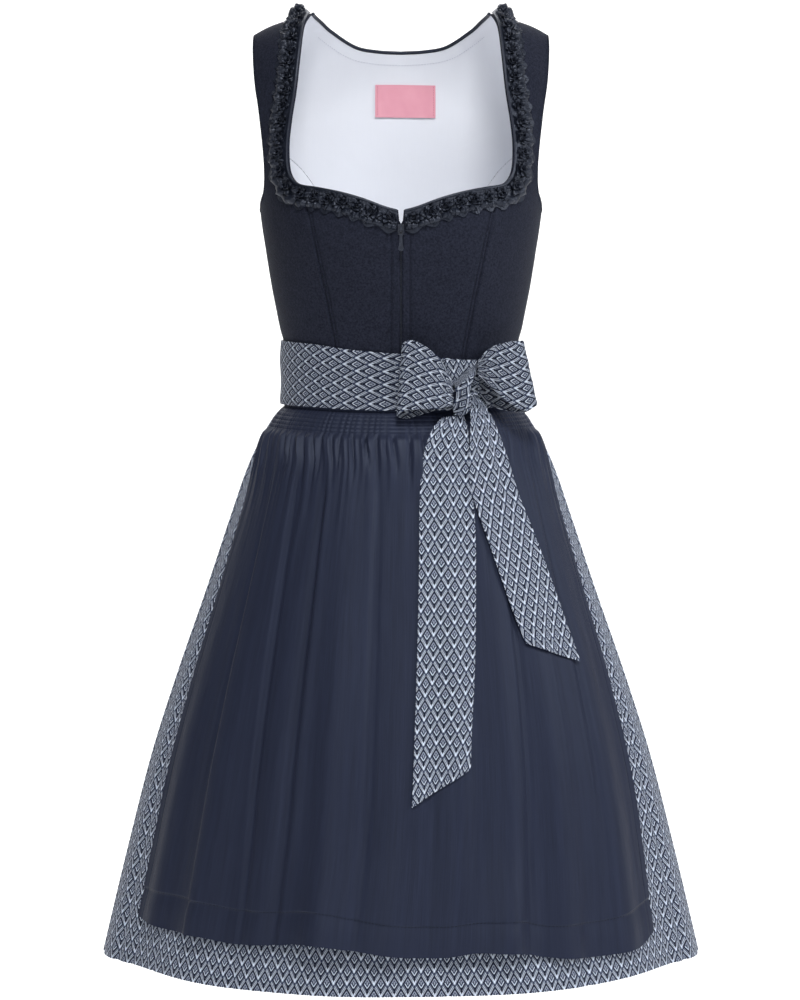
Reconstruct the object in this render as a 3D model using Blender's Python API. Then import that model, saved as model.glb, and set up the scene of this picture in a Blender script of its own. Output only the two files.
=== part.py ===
"""A dirndl on a hollow worn form: bodice, back lining, skirt, apron and tie, each a separate cloth wall.

Metres, +Z up. The origin lies between the shoulders, where the wearer holds the dress up. The front faces -Y,
and names ending in _l lie at -X. A surface is a function of an angle round the body (0 at centre front,
90 degrees at the +X side, 180 at centre back) and a height.
"""

import math
from collections import namedtuple

import bmesh
import bpy
import numpy as np

SEAM_GAP = 0.0003
BODICE_WALL = 0.0015
LINING_WALL = 0.0010
SKIRT_WALL = 0.0015
APRON_WALL = 0.0012
TIE_WALL = 0.0015
LABEL_WALL = 0.0010

WAIST_Z = -0.385
HEM_Z = -0.973
UNDERARM_Z = -0.208

# The bodice's half width and its depths in front of and behind the side seams, row by row down the body.
BodyRow = namedtuple("BodyRow", "z half_width front back")
BODY = [
    BodyRow(0.030, 0.1720, 0.0780, 0.0830),
    BodyRow(-0.040, 0.1680, 0.0810, 0.0860),
    BodyRow(-0.070, 0.1650, 0.0840, 0.0880),
    BodyRow(-0.110, 0.1600, 0.0900, 0.0900),
    BodyRow(-0.150, 0.1530, 0.1030, 0.0930),
    BodyRow(-0.172, 0.1490, 0.1120, 0.0950),
    BodyRow(-0.205, 0.1455, 0.1210, 0.0970),
    BodyRow(-0.225, 0.1430, 0.1230, 0.0975),
    BodyRow(-0.246, 0.1397, 0.1210, 0.0970),
    BodyRow(-0.266, 0.1366, 0.1170, 0.0955),
    BodyRow(-0.287, 0.1331, 0.1120, 0.0940),
    BodyRow(-0.308, 0.1290, 0.1070, 0.0920),
    BodyRow(-0.328, 0.1250, 0.1020, 0.0900),
    BodyRow(-0.345, 0.1207, 0.0985, 0.0885),
    BodyRow(-0.360, 0.1195, 0.0965, 0.0870),
    BodyRow(WAIST_Z, 0.1195, 0.0950, 0.0865),
]
BODY_ROUNDNESS = 2.3

# The skirt's half width at its side, waist to hem; its depths grow with it by the two spreads.
SkirtRow = namedtuple("SkirtRow", "z half_width")
SKIRT = [
    SkirtRow(WAIST_Z, 0.1195),
    SkirtRow(-0.4068, 0.1200),
    SkirtRow(-0.412, 0.1250),
    SkirtRow(-0.432, 0.1386),
    SkirtRow(-0.473, 0.1580),
    SkirtRow(-0.515, 0.1727),
    SkirtRow(-0.598, 0.2000),
    SkirtRow(-0.682, 0.2285),
    SkirtRow(-0.766, 0.2545),
    SkirtRow(-0.850, 0.2755),
    SkirtRow(HEM_Z, 0.3048),
]
FRONT_SPREAD = 0.79
WAIST_DROP = 0.0048
BACK_SPREAD = 0.85
HEM_ROUNDNESS = 2.0
# How far the hem rises or dips round the skirt, by degrees from centre front or centre back.
HemRow = namedtuple("HemRow", "turn rise")
HEM = [HemRow(0, -0.0006), HemRow(33, -0.0010), HemRow(57, 0.0030), HemRow(75, 0.0025), HemRow(90, 0.0005)]

# The shoulder: the ridge where front and back meet, and how far below it the chest is reached.
NECK_POINT = (0.0930, -0.0045)
SHOULDER_TIP = (0.1510, -0.0270)
SHOULDER_ARCH = 0.0027
SHOULDER_ROUND = 0.105
SEAM_RADIUS = 0.11
BACK_STEPS = {"seam": 8, "side": 4, "arm": 6, "shoulder": 3, "neck": 5}

# Fullness that the curved front seams are cut for.
CUP = {"x": 0.074, "z": -0.232, "width": 0.036, "height": 0.046, "out": 0.0045}

# Edges of the pieces as (x, z) seen from the front, for the +X side; the -X side mirrors them.
ZIP_EDGE = [(0.0004, WAIST_Z), (0.0004, -0.236), (0.0012, -0.226), (0.0026, -0.2110)]
NECK_FOOT = [(0.0026, -0.2110), (0.016, -0.2074), (0.038, -0.1992), (0.0605, -0.1927), (0.083, -0.1878),
             (0.098, -0.1850)]
NECK_SIDE = [(0.098, -0.1850), (0.1058, -0.1812), (0.1115, -0.1720), (0.1135, -0.158), (0.1133, -0.1385),
             (0.1105, -0.1157), (0.1060, -0.0876), (0.1025, -0.0530), (0.0990, -0.0200), NECK_POINT]
FRONT_PRINCESS = [(0.0625, WAIST_Z), (0.0670, -0.343), (0.0800, -0.275), (0.0930, -0.213), (0.098, -0.1850)]
BACK_PRINCESS = [(0.052, WAIST_Z), (0.055, -0.330), (0.062, -0.270), (0.073, -0.222), (0.087, -0.188),
                 (0.104, -0.163), (0.121, -0.148), (0.1408, -0.138)]
ARMHOLE_HIGH = [(0.1408, -0.138), (0.1424, -0.124), (0.1450, -0.103), (0.1483, -0.082), (0.1502, -0.062),
                (0.1512, -0.042), SHOULDER_TIP]
ARMHOLE_LOW = [(0.1448, -0.206), (0.1410, -0.196), (0.1388, -0.182), (0.1387, -0.165), (0.1397, -0.150),
               (0.1408, -0.138)]
BACK_NECK = [NECK_POINT, (0.0850, -0.0105), (0.0745, -0.0190), (0.0495, -0.0335), (0.0260, -0.0378),
             (0.0, -0.0390)]

# Broad folds: where their ridge runs, how wide they are and how far they stand out at the hem.
Fold = namedtuple("Fold", "place half_width depth top_z")
SKIRT_FOLDS = [
    Fold(-74, 15, 0.0105, -0.46), Fold(-47, 16, 0.0030, -0.70), Fold(-12, 15, 0.0030, -0.75),
    Fold(24, 17, 0.0030, -0.72), Fold(50, 13, 0.0030, -0.70), Fold(74, 15, 0.0105, -0.46),
    Fold(108, 10, 0.0085, -0.46), Fold(129, 9, 0.0100, -0.45), Fold(150, 10, 0.0080, -0.47),
    Fold(170, 9, 0.0110, -0.45), Fold(190, 9, 0.0080, -0.48), Fold(209, 9, 0.0105, -0.45),
    Fold(231, 10, 0.0090, -0.46), Fold(253, 9, 0.0095, -0.45),
]
APRON_FOLDS = [
    Fold(0.055, 0.055, 0.0045, -0.48), Fold(0.175, 0.060, 0.0065, -0.45), Fold(0.290, 0.055, 0.0070, -0.44),
    Fold(0.395, 0.048, 0.0080, -0.44), Fold(0.505, 0.052, 0.0055, -0.47), Fold(0.595, 0.042, 0.0070, -0.45),
    Fold(0.685, 0.045, 0.0065, -0.46), Fold(0.785, 0.050, 0.0075, -0.44), Fold(0.905, 0.060, 0.0055, -0.46),
    Fold(0.455, 0.170, 0.0120, -0.80), Fold(0.665, 0.090, 0.0120, -0.82),
]
SKIRT_GATHERS = {"count": 28, "depth": 0.0022, "top_z": -0.4065, "full_z": -0.418, "end_z": -0.505}
APRON_GATHERS = {"count": 56, "depth": 0.0012, "top_z": -0.4065, "full_z": -0.420, "end_z": -0.500}
SKIRT_LEVELS = [-0.3853, -0.4066, -0.418, -0.440, -0.480, -0.530, -0.600, -0.690, -0.790, -0.885, HEM_Z]
FRONT_COLUMNS = 22

# The apron's two side edges, as angles round the skirt.
ApronEdge = namedtuple("ApronEdge", "z left right")
APRON_EDGES = [
    ApronEdge(-0.366, -80, 80), ApronEdge(-0.412, -80, 80), ApronEdge(-0.426, -79, 79),
    ApronEdge(-0.464, -69, 70), ApronEdge(-0.530, -66.3, 66.8), ApronEdge(-0.700, -64.4, 64),
    ApronEdge(-0.810, -63.8, 62), ApronEdge(-0.940, -63.3, 58),
]
APRON_TOP_Z = -0.366
APRON_HEM_Z = -0.934
APRON_CLEAR = {"waist": 0.0004, "hem": 0.0020}
# The apron's rows and how finely each is stepped: 4 columns to two gathers at the top, then 2, then 1.
APRON_LEVELS = [(APRON_TOP_Z, 4), (-0.4062, 4), (-0.415, 4), (-0.428, 4), (-0.446, 2), (-0.478, 2), (-0.520, 1),
                (-0.585, 1), (-0.655, 1), (-0.725, 1), (-0.795, 1), (-0.865, 1), (-0.9045, 1), (APRON_HEM_Z, 1)]
# How far the apron's lower edge, and the line of its turned-up fold, rise or dip by the share across.
ApronHem = namedtuple("ApronHem", "place edge fold")
APRON_HEM = [
    ApronHem(0.0, 0.0120, 0.0120), ApronHem(0.11, 0.0075, 0.0115), ApronHem(0.18, 0.0080, 0.0110),
    ApronHem(0.245, 0.0040, 0.0070), ApronHem(0.32, 0.0065, 0.0080), ApronHem(0.39, 0.0115, 0.0125),
    ApronHem(0.465, 0.0055, 0.0040), ApronHem(0.565, -0.0015, -0.0020), ApronHem(0.645, 0.0030, 0.0015),
    ApronHem(0.685, 0.0020, 0.0020), ApronHem(0.755, -0.0070, -0.0070), ApronHem(0.85, -0.0120, -0.0085),
    ApronHem(0.94, -0.0100, -0.0025), ApronHem(1.0, 0.0010, 0.0040),
]
APRON_FOLD_HEIGHT = 0.0295

# The tie round the waist: its edges by angle, lowest towards the knot.
TieRow = namedtuple("TieRow", "angle top bottom")
TIE_EDGES = [
    TieRow(-180, -0.3420, -0.4050), TieRow(-90, -0.3405, -0.4060), TieRow(-45, -0.3440, -0.4075),
    TieRow(-20, -0.3500, -0.4100), TieRow(0, -0.3540, -0.4108), TieRow(20, -0.3585, -0.4105),
    TieRow(34, -0.3605, -0.4090), TieRow(60, -0.3500, -0.4075), TieRow(90, -0.3410, -0.4060),
    TieRow(180, -0.3420, -0.4050),
]
TIE_FORM = {"half_width": 0.1250, "front": 0.1006, "back": 0.0912}
TIE_START = 31.5
TIE_CREASE = 0.0005

# The knot: a wrap that fans out over the band from its upper edge and is drawn in to a knob below. Its rows are
# measured from a place on the band: how far to the side the middle lies, half the width and half the depth.
KNOT = {"x": 0.0565, "z": -0.4000, "clear": 0.0006, "ridge": 0.05, "sides": 20}
KnotRow = namedtuple("KnotRow", "z middle half_width half_depth")
KNOT_ROWS = [
    KnotRow(-0.3600, 0.0012, 0.0200, 0.0014), KnotRow(-0.3665, 0.0015, 0.0190, 0.0018),
    KnotRow(-0.3730, 0.0022, 0.0163, 0.0032), KnotRow(-0.3795, 0.0028, 0.0122, 0.0056),
    KnotRow(-0.3865, 0.0018, 0.0096, 0.0090), KnotRow(-0.3945, 0.0012, 0.0089, 0.0112),
    KnotRow(-0.4020, 0.0011, 0.0094, 0.0116), KnotRow(-0.4090, 0.0011, 0.0086, 0.0100),
    KnotRow(-0.4152, 0.0002, 0.0056, 0.0066),
]

# A bow loop's upper and lower edge, by how far out from the knot it is (0 at the knot, 1 at its fold). Its lean
# makes it reach further out at its foot than at its top.
LoopRow = namedtuple("LoopRow", "reach top bottom back_bottom")
LOOP_L = {"root": (0.0524, -0.1087), "tip": (-0.0020, -0.1138), "half_gap": 0.0085, "lean": 0.11, "rows": [
    LoopRow(0.0, -0.3815, -0.4050, -0.4080), LoopRow(0.3, -0.3570, -0.4085, -0.4110),
    LoopRow(0.6, -0.3450, -0.4090, -0.4155), LoopRow(0.85, -0.3400, -0.4100, -0.4190),
    LoopRow(1.0, -0.3430, -0.4140, -0.4175)]}
LOOP_R = {"root": (0.0771, -0.0902), "tip": (0.1306, -0.0862), "half_gap": 0.0110, "lean": 0.266, "rows": [
    LoopRow(0.0, -0.3612, -0.3760, -0.3960), LoopRow(0.25, -0.3490, -0.3900, -0.4070),
    LoopRow(0.5, -0.3440, -0.4030, -0.4115), LoopRow(0.8, -0.3410, -0.4110, -0.4130),
    LoopRow(1.0, -0.3405, -0.4050, -0.4060)]}

# The hanging ends: left and right edge points, knot to tip, and how far in front of the apron they hang.
TailRow = namedtuple("TailRow", "left_x left_z right_x right_z out")
TAIL_LONG = [
    TailRow(0.0367, -0.4158, 0.0608, -0.4158, 0.0088), TailRow(0.0299, -0.4298, 0.0653, -0.4301, 0.0022),
    TailRow(0.0217, -0.4553, 0.0667, -0.4557, 0.0018), TailRow(0.0184, -0.4887, 0.0694, -0.4891, 0.0017),
    TailRow(0.0174, -0.5325, 0.0716, -0.5361, 0.0017), TailRow(0.0168, -0.5810, 0.0716, -0.5817, 0.0017),
    TailRow(0.0158, -0.6262, 0.0713, -0.6252, 0.0017), TailRow(0.0145, -0.6721, 0.0701, -0.6692, 0.0017),
    TailRow(0.0128, -0.7243, 0.0670, -0.7186, 0.0017), TailRow(0.0102, -0.7933, 0.0653, -0.7573, 0.0017),
]
TAIL_SHORT = [
    TailRow(0.0585, -0.3918, 0.0618, -0.3929, 0.0190), TailRow(0.0597, -0.4009, 0.0680, -0.4010, 0.0168),
    TailRow(0.0641, -0.4161, 0.0832, -0.4154, 0.0090), TailRow(0.0659, -0.4399, 0.0954, -0.4375, 0.0044),
    TailRow(0.0652, -0.4693, 0.1045, -0.4633, 0.0038), TailRow(0.0693, -0.4978, 0.1131, -0.4931, 0.0036),
    TailRow(0.0808, -0.5332, 0.1260, -0.5271, 0.0034), TailRow(0.0921, -0.5666, 0.1384, -0.5601, 0.0030),
    TailRow(0.1061, -0.6060, 0.1532, -0.6020, 0.0026), TailRow(0.1196, -0.6399, 0.1729, -0.6608, 0.0024),
]

# Two staggered rows of petals, ruched along the neck edge over a flat strip.
TRIM = {"width": 0.0235, "pitch": 0.0185, "base": 0.0016, "petal": 0.0034, "scallop": 0.0032,
        "centre_x": 0.0036, "clear": 0.0005, "crest": 0.0095, "crest_length": 0.020}
TRIM_STEPS = 3
# Distance from the neck edge, the share of the petals' height there (flat, first row, second row), and the share
# of the crest that stands up where the trim ends on the shoulder.
TRIM_ACROSS = [(0.0, 0.0, 0.0, 0.0, 0.0), (0.0040, 0.1, 0.0, 0.0, 0.6), (0.0095, 0.35, 0.65, 0.0, 1.0),
               (0.0175, 0.3, 0.0, 0.7, 0.75), (TRIM["width"], 0.15, 0.0, 0.1, 0.3)]
BINDING = {"height": 0.0036, "thick": 0.0030}
LABEL = {"left": -0.0275, "right": 0.0370, "top": -0.0700, "bottom": -0.1045, "clear": 0.0011}

ZIP_TAPE = {"half_width": 0.0110, "top": -0.2140, "bottom": -0.3550, "thick": 0.0008, "clear": 0.0008}
SLIDER = {"z": -0.2305, "width": 0.0062, "length": 0.0105, "thick": 0.0022, "off": 0.0006}
ARCH = {"width": 0.0016, "length": 0.0046, "rise": 0.0028, "strap": 0.0008}
PULL = {"width": 0.0056, "length": 0.0220, "thick": 0.0010, "bar": 0.0010, "eye_width": 0.0030,
        "eye_length": 0.0040, "neck": 0.0040}


def column(table, name):
    """One column of a table, beside its first column, both in rising order of the first."""
    rows = sorted(table, key=lambda row: row[0])
    return np.array([row[0] for row in rows], float), np.array([getattr(row, name) for row in rows], float)


def smooth(table, name, at):
    """A table's column read by a smooth curve through its rows (cubic Hermite, limited slopes)."""
    xs, ys = column(table, name)
    step = np.diff(xs)
    slope = np.diff(ys) / step
    inner = np.where(slope[1:] * slope[:-1] > 0, 2 * slope[1:] * slope[:-1] / (slope[1:] + slope[:-1] + 1e-12), 0)
    tangent = np.concatenate([slope[:1], inner, slope[-1:]])
    at = np.clip(np.asarray(at, float), xs[0], xs[-1])
    k = np.clip(np.searchsorted(xs, at) - 1, 0, len(xs) - 2)
    t = (at - xs[k]) / step[k]
    rise = (2 * t**3 - 3 * t**2 + 1) * ys[k] + (3 * t**2 - 2 * t**3) * ys[k + 1]
    return rise + step[k] * ((t**3 - 2 * t**2 + t) * tangent[k] + (t**3 - t**2) * tangent[k + 1])


def ease(value, start, end):
    """0 at start, 1 at end, with flat ends."""
    t = np.clip((np.asarray(value, float) - start) / (end - start), 0, 1)
    return t * t * (3 - 2 * t)


def ring_point(angle, half_width, depth, roundness):
    """x and y on a superellipse."""
    sine, cosine = np.sin(angle), np.cos(angle)
    x = half_width * np.sign(sine) * np.abs(sine) ** (2 / roundness)
    y = -depth * np.sign(cosine) * np.abs(cosine) ** (2 / roundness)
    return x, y


def ridge_z(x):
    """The shoulder ridge: a straight fall from neck to tip, arched most two thirds of the way out."""
    share = (np.abs(x) - NECK_POINT[0]) / (SHOULDER_TIP[0] - NECK_POINT[0])
    within = np.clip(share, 0, 1)
    arch = SHOULDER_ARCH * 6.75 * within**2 * (1 - within)
    return NECK_POINT[1] + (SHOULDER_TIP[1] - NECK_POINT[1]) * share + arch


def bodice(angle, z):
    """The bodice's outer face: rounded over to the shoulder ridge, with the cups' fullness in front."""
    front = np.cos(angle) >= 0
    depth = np.where(front, smooth(BODY, "front", z), smooth(BODY, "back", z))
    x, y = ring_point(angle, smooth(BODY, "half_width", z), depth, BODY_ROUNDNESS)
    bump = np.exp(-((np.abs(x) - CUP["x"]) / CUP["width"]) ** 2 - ((z - CUP["z"]) / CUP["height"]) ** 2)
    y = y - np.where(front, CUP["out"] * bump * np.abs(np.cos(angle)), 0)
    below = np.clip((ridge_z(x) - z) / SHOULDER_ROUND, 0, 1)
    y = y * np.sqrt(1 - (1 - below) ** 2)
    return np.stack([x, y, z + 0 * x], -1)


def bodice_angle(x, z, back=False):
    """The angle at which the bodice has this x at this height."""
    share = np.clip(np.abs(x) / smooth(BODY, "half_width", z), 0, 1) ** (BODY_ROUNDNESS / 2)
    angle = np.sign(x) * np.arcsin(share)
    return np.where(back, math.pi - angle, angle)


def shoulder_chart(x, turn, back=False):
    """The bodice by x and by how far it has turned over from the shoulder ridge, where turn is 0."""
    fall = np.where(turn < math.pi / 2, 1 - np.cos(turn), 1 + turn - math.pi / 2)
    z = ridge_z(x) - SHOULDER_ROUND * fall
    return bodice(bodice_angle(x, z, back), z)


def shoulder_turn(x, z):
    fall = np.maximum(ridge_z(x) - z, 0) / SHOULDER_ROUND
    return np.where(fall < 1, np.arccos(1 - np.minimum(fall, 1)), math.pi / 2 + fall - 1)


def skirt_roundness(z):
    return BODY_ROUNDNESS + (HEM_ROUNDNESS - BODY_ROUNDNESS) * ease(z, WAIST_Z, HEM_Z)


def waist_drop(angle, z):
    """The skirt starts to spread lower in front than at the sides and back."""
    return WAIST_DROP * np.clip(np.cos(angle), 0, 1) ** 2 * ease(z, -0.56, -0.43)


def skirt_form(angle, z):
    """The skirt without its folds."""
    half_width = smooth(SKIRT, "half_width", z + waist_drop(angle, z))
    spread = half_width - SKIRT[0].half_width
    front, back = BODY[-1].front + FRONT_SPREAD * spread, BODY[-1].back + BACK_SPREAD * spread
    depth = np.where(np.cos(angle) >= 0, front, back)
    x, y = ring_point(angle, half_width, depth, skirt_roundness(z))
    return np.stack([x, y, z + 0 * x], -1)


def skirt_angle(x, z):
    share = np.clip(np.abs(x) / smooth(SKIRT, "half_width", z), 0, 1) ** (skirt_roundness(z) / 2)
    return np.sign(x) * np.arcsin(share)


def folds(table, place, z, hem_z):
    """How far the folds stand out: a cosine bell across each, growing from its top to the hem."""
    out = np.zeros(np.broadcast(place, z).shape)
    for fold in table:
        across = np.clip((place - fold.place) / fold.half_width, -1, 1)
        out = out + fold.depth * np.cos(across * math.pi / 2) ** 2 * ease(z, fold.top_z, hem_z)
    return out


def pushed_out(points, out):
    """Points moved level away from the body's axis."""
    reach = np.linalg.norm(points[..., :2], axis=-1)
    moved = points.copy()
    moved[..., :2] *= (1 + out / reach)[..., None]
    return moved


def skirt(angle, z, out=0.0):
    turned = np.degrees(angle)
    turned = np.where(turned > 270, turned - 360, turned)
    return pushed_out(skirt_form(angle, z), folds(SKIRT_FOLDS, turned, z, HEM_Z) + out)


def skirt_gathers(angle, z):
    """Small ridges under the waist, only on the half behind the side seams."""
    g = SKIRT_GATHERS
    wave = 0.5 + 0.5 * np.cos(2 * g["count"] * (angle - math.pi / 2))
    return g["depth"] * wave * ease(z, g["end_z"], g["full_z"]) * ease(z, g["top_z"], g["full_z"])


def apron_place(angle, z):
    left, right = (np.radians(smooth(APRON_EDGES, side, z)) for side in ("left", "right"))
    return (angle - left) / (right - left)


def apron_angle(place, z):
    left, right = (np.radians(smooth(APRON_EDGES, side, z)) for side in ("left", "right"))
    return left + place * (right - left)


def apron_clear(z):
    return APRON_CLEAR["waist"] + (APRON_CLEAR["hem"] - APRON_CLEAR["waist"]) * ease(z, -0.42, -0.60)


def apron_gathers(place, z):
    g = APRON_GATHERS
    wave = 0.5 + 0.5 * np.cos(2 * math.pi * g["count"] * place)
    return g["depth"] * wave * ease(z, g["end_z"], g["full_z"]) * (0.35 + 0.65 * ease(z, g["top_z"], g["full_z"]))


def apron_front(angle, z, out=0.0):
    """In front of the apron's outer face by out, at its gathers' full height."""
    place = apron_place(angle, z)
    ripple = APRON_GATHERS["depth"] * ease(z, APRON_GATHERS["end_z"], APRON_GATHERS["full_z"])
    lift = apron_clear(z) + APRON_WALL + ripple + folds(APRON_FOLDS, place, z, APRON_HEM_Z)
    return skirt(angle, z, lift + out)


def tie(angle, z, out=0.0):
    depth = np.where(np.cos(angle) >= 0, TIE_FORM["front"], TIE_FORM["back"])
    x, y = ring_point(angle, TIE_FORM["half_width"], depth, BODY_ROUNDNESS)
    return pushed_out(np.stack([x, y, z + 0 * x], -1), out + 0 * x)


def tie_angle(x):
    """The angle at which the band has this x, in front."""
    return np.sign(x) * np.arcsin(np.clip(np.abs(x) / TIE_FORM["half_width"], 0, 1) ** (BODY_ROUNDNESS / 2))


def unit(vectors):
    return vectors / np.linalg.norm(vectors, axis=-1, keepdims=True)


def normals(surface, first, second, step=1e-4):
    """Outward unit normals of a surface, from small steps along its two parameters."""
    along = surface(first + step, second) - surface(first - step, second)
    up = surface(first, second + step) - surface(first, second - step)
    return unit(np.cross(along, up))


def chart_slopes(x, turn, back=False, step=1e-4):
    """How the bodice moves with x and with the turn over the shoulder; just past the ridge it stays flat."""
    over = np.maximum(turn, step)
    by_x = (shoulder_chart(x + step, over, back) - shoulder_chart(x - step, over, back)) / (2 * step)
    by_turn = (shoulder_chart(x, over + step, back) - shoulder_chart(x, over - step, back)) / (2 * step)
    return by_x, by_turn


def bodice_normals(angle, z):
    """Outward normals; near the shoulder they come from the chart that has no jump at the ridge."""
    place = bodice(angle, z)
    back = np.cos(angle) < 0
    high = ridge_z(place[..., 0]) - z < 0.5 * SHOULDER_ROUND
    low_z = np.minimum(z, ridge_z(place[..., 0]) - 0.002)
    plain = normals(bodice, angle, low_z)
    by_x, by_turn = chart_slopes(place[..., 0], shoulder_turn(place[..., 0], z), back)
    near = unit(np.cross(by_turn, by_x) * np.where(back, -1, 1)[..., None])
    return np.where(high[..., None], near, plain)


def resample(points, count):
    """Points at even distances along a line of points."""
    reach = np.concatenate([[0], np.cumsum(np.linalg.norm(np.diff(points, axis=0), axis=1))])
    at = np.linspace(0, reach[-1], count)
    return np.stack([np.interp(at, reach, points[:, k]) for k in range(points.shape[1])], -1)


def through(points, per_span=8):
    """A smooth curve (Catmull-Rom) through points, as many short steps."""
    p = np.array(points, float)
    p = np.concatenate([2 * p[:1] - p[1:2], p, 2 * p[-1:] - p[-2:-1]])
    t = np.linspace(0, 1, per_span, endpoint=False)[:, None]
    spans = [0.5 * (2 * b + (c - a) * t + (2 * a - 5 * b + 4 * c - d) * t**2 + (3 * b - a - 3 * c + d) * t**3)
             for a, b, c, d in zip(p, p[1:], p[2:], p[3:])]
    return np.concatenate(spans + [p[-2:-1]])


def bodice_edge(points, steps, back=False):
    """An edge given as (x, z), walked in even steps on the bodice and returned as (angle, z)."""
    line = through(points) if len(points) > 2 else resample(np.array(points, float), 24)
    angle = bodice_angle(line[:, 0], line[:, 1], back)
    place = bodice(angle, line[:, 1])
    reach = np.concatenate([[0], np.cumsum(np.linalg.norm(np.diff(place, axis=0), axis=1))])
    at = np.linspace(0, reach[-1], steps + 1)
    return np.stack([np.interp(at, reach, angle), np.interp(at, reach, line[:, 1])], -1)


def shoulder_line():
    """The ridge from the neck out to the tip, as (x, z)."""
    x = np.linspace(NECK_POINT[0], SHOULDER_TIP[0], 7)
    return list(zip(x, ridge_z(x)))


def joined(*edges):
    return np.concatenate([edges[0]] + [edge[1:] for edge in edges[1:]])


def patch(foot, top, left, right):
    """A Coons patch in (angle, z): rows run from the foot up, columns from the left edge to the right."""
    u = np.linspace(0, 1, len(foot))[None, :, None]
    v = np.linspace(0, 1, len(left))[:, None, None]
    ruled = (1 - v) * foot[None] + v * top[None] + (1 - u) * left[:, None] + u * right[:, None]
    corners = ((1 - u) * (1 - v) * foot[0] + u * (1 - v) * foot[-1]
               + (1 - u) * v * top[0] + u * v * top[-1])
    grid = ruled - corners
    return grid[..., 0], grid[..., 1]


def make_material(name, colour, roughness, metallic=0.0):
    material = bpy.data.materials.new(name)
    material.use_nodes = True
    shader = material.node_tree.nodes["Principled BSDF"]
    shader.inputs["Base Color"].default_value = (*colour, 1.0)
    shader.inputs["Roughness"].default_value = roughness
    shader.inputs["Metallic"].default_value = metallic
    material.diffuse_color = (*colour, 1.0)
    return material


def place_object(name, mesh, material):
    mesh.materials.append(material)
    mesh.shade_smooth()
    mesh.set_sharp_from_angle(angle=math.radians(50))
    made = bpy.data.objects.new(name, mesh)
    bpy.data.collections["dirndl"].objects.link(made)
    return made


def between(low, high, flip):
    """Faces between two rows of vertices, split alike in every wall so that layered cloths stay parallel.

    The upper row may have twice the steps of the lower one.
    """
    faces = []
    for k in range(len(low) - 1):
        if len(low) == len(high):
            faces += [(low[k], low[k + 1], high[k + 1]), (low[k], high[k + 1], high[k])]
        else:
            faces += [(low[k], low[k + 1], high[2 * k + 1]), (low[k], high[2 * k + 1], high[2 * k]),
                      (low[k + 1], high[2 * k + 2], high[2 * k + 1])]
    return [face[::-1] for face in faces] if flip else faces


def cloth(name, outer, inner, material):
    """A closed cloth wall lofted between rows of outer points and the same rows of inner points."""
    rows, points = [], []
    for side in (outer, inner):
        numbered = []
        for row in side:
            numbered.append(list(range(len(points), len(points) + len(row))))
            points += [tuple(point) for point in row]
        rows.append(numbered)
    out, into = rows
    faces = []
    for k in range(len(out) - 1):
        faces += between(out[k], out[k + 1], False) + between(into[k], into[k + 1], True)
        faces.append((out[k][0], out[k + 1][0], into[k + 1][0], into[k][0]))
        faces.append((out[k + 1][-1], out[k][-1], into[k][-1], into[k + 1][-1]))
    faces += between(out[0], into[0], True) + between(out[-1], into[-1], False)
    mesh = bpy.data.meshes.new(name)
    mesh.from_pydata(points, [], faces)
    mesh.validate()
    return place_object(name, mesh, material)


def mirrored(grid):
    """The same rows on the -X side, columns turned round so that they still run left to right."""
    turned = grid[:, ::-1].copy()
    turned[..., 0] *= -1
    return turned


def panel_pair(name, angle, z, out, wall, material, back=False):
    """A bodice piece at +X and its mirror at -X."""
    face, normal = bodice(angle, z), bodice_normals(angle, z)
    seam = np.array([0, SEAM_GAP / 2 if back else -SEAM_GAP / 2, 0])
    outer, inner = face + normal * out + seam, face + normal * (out - wall) + seam
    cloth(name + "_r", outer, inner, material)
    cloth(name + "_l", mirrored(outer), mirrored(inner), material)


def set_back(edge, side):
    """An edge in (angle, z) moved off its seam by half the gap; side is 1 for the piece at smaller angles."""
    along = np.gradient(edge, axis=0) * np.array([SEAM_RADIUS, 1.0])
    across = unit(np.stack([along[:, 1], -along[:, 0]], -1)) * (-side * SEAM_GAP / 2)
    return edge + across / np.array([SEAM_RADIUS, 1.0])


def front_pieces(material):
    zip_edge = bodice_edge(ZIP_EDGE, 8)
    neck_foot = bodice_edge(NECK_FOOT, 6)
    princess = bodice_edge(FRONT_PRINCESS, 8)
    centre_foot = bodice_edge([ZIP_EDGE[0], FRONT_PRINCESS[0]], 6)
    angle, z = patch(centre_foot, neck_foot, zip_edge, princess)
    angle[:, -1], z[:, -1] = set_back(princess, 1).T
    panel_pair("bodice_front_centre", angle, z, 0, BODICE_WALL, material)

    side_seam = np.stack([np.full(10, math.pi / 2), np.linspace(WAIST_Z, UNDERARM_Z, 10)], -1)
    arm_low = bodice_edge([(smooth(BODY, "half_width", UNDERARM_Z), UNDERARM_Z)] + ARMHOLE_LOW, 5)
    outer_edge = joined(side_seam, arm_low, bodice_edge(ARMHOLE_HIGH, 7))
    inner_edge = joined(princess, bodice_edge(NECK_SIDE, 13))
    side_foot = bodice_edge([FRONT_PRINCESS[0], (BODY[-1].half_width, WAIST_Z)], 6)
    shoulder = bodice_edge(shoulder_line(), 6)
    angle, z = patch(side_foot, shoulder, inner_edge, outer_edge)
    angle[:9, 0], z[:9, 0] = set_back(princess, -1).T
    panel_pair("bodice_front_side", angle, z, 0, BODICE_WALL, material)


def both_sides(edge):
    """An edge that ends at centre back, carried on to the other side."""
    return joined(edge, np.stack([2 * math.pi - edge[::-1, 0], edge[::-1, 1]], -1))


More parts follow.
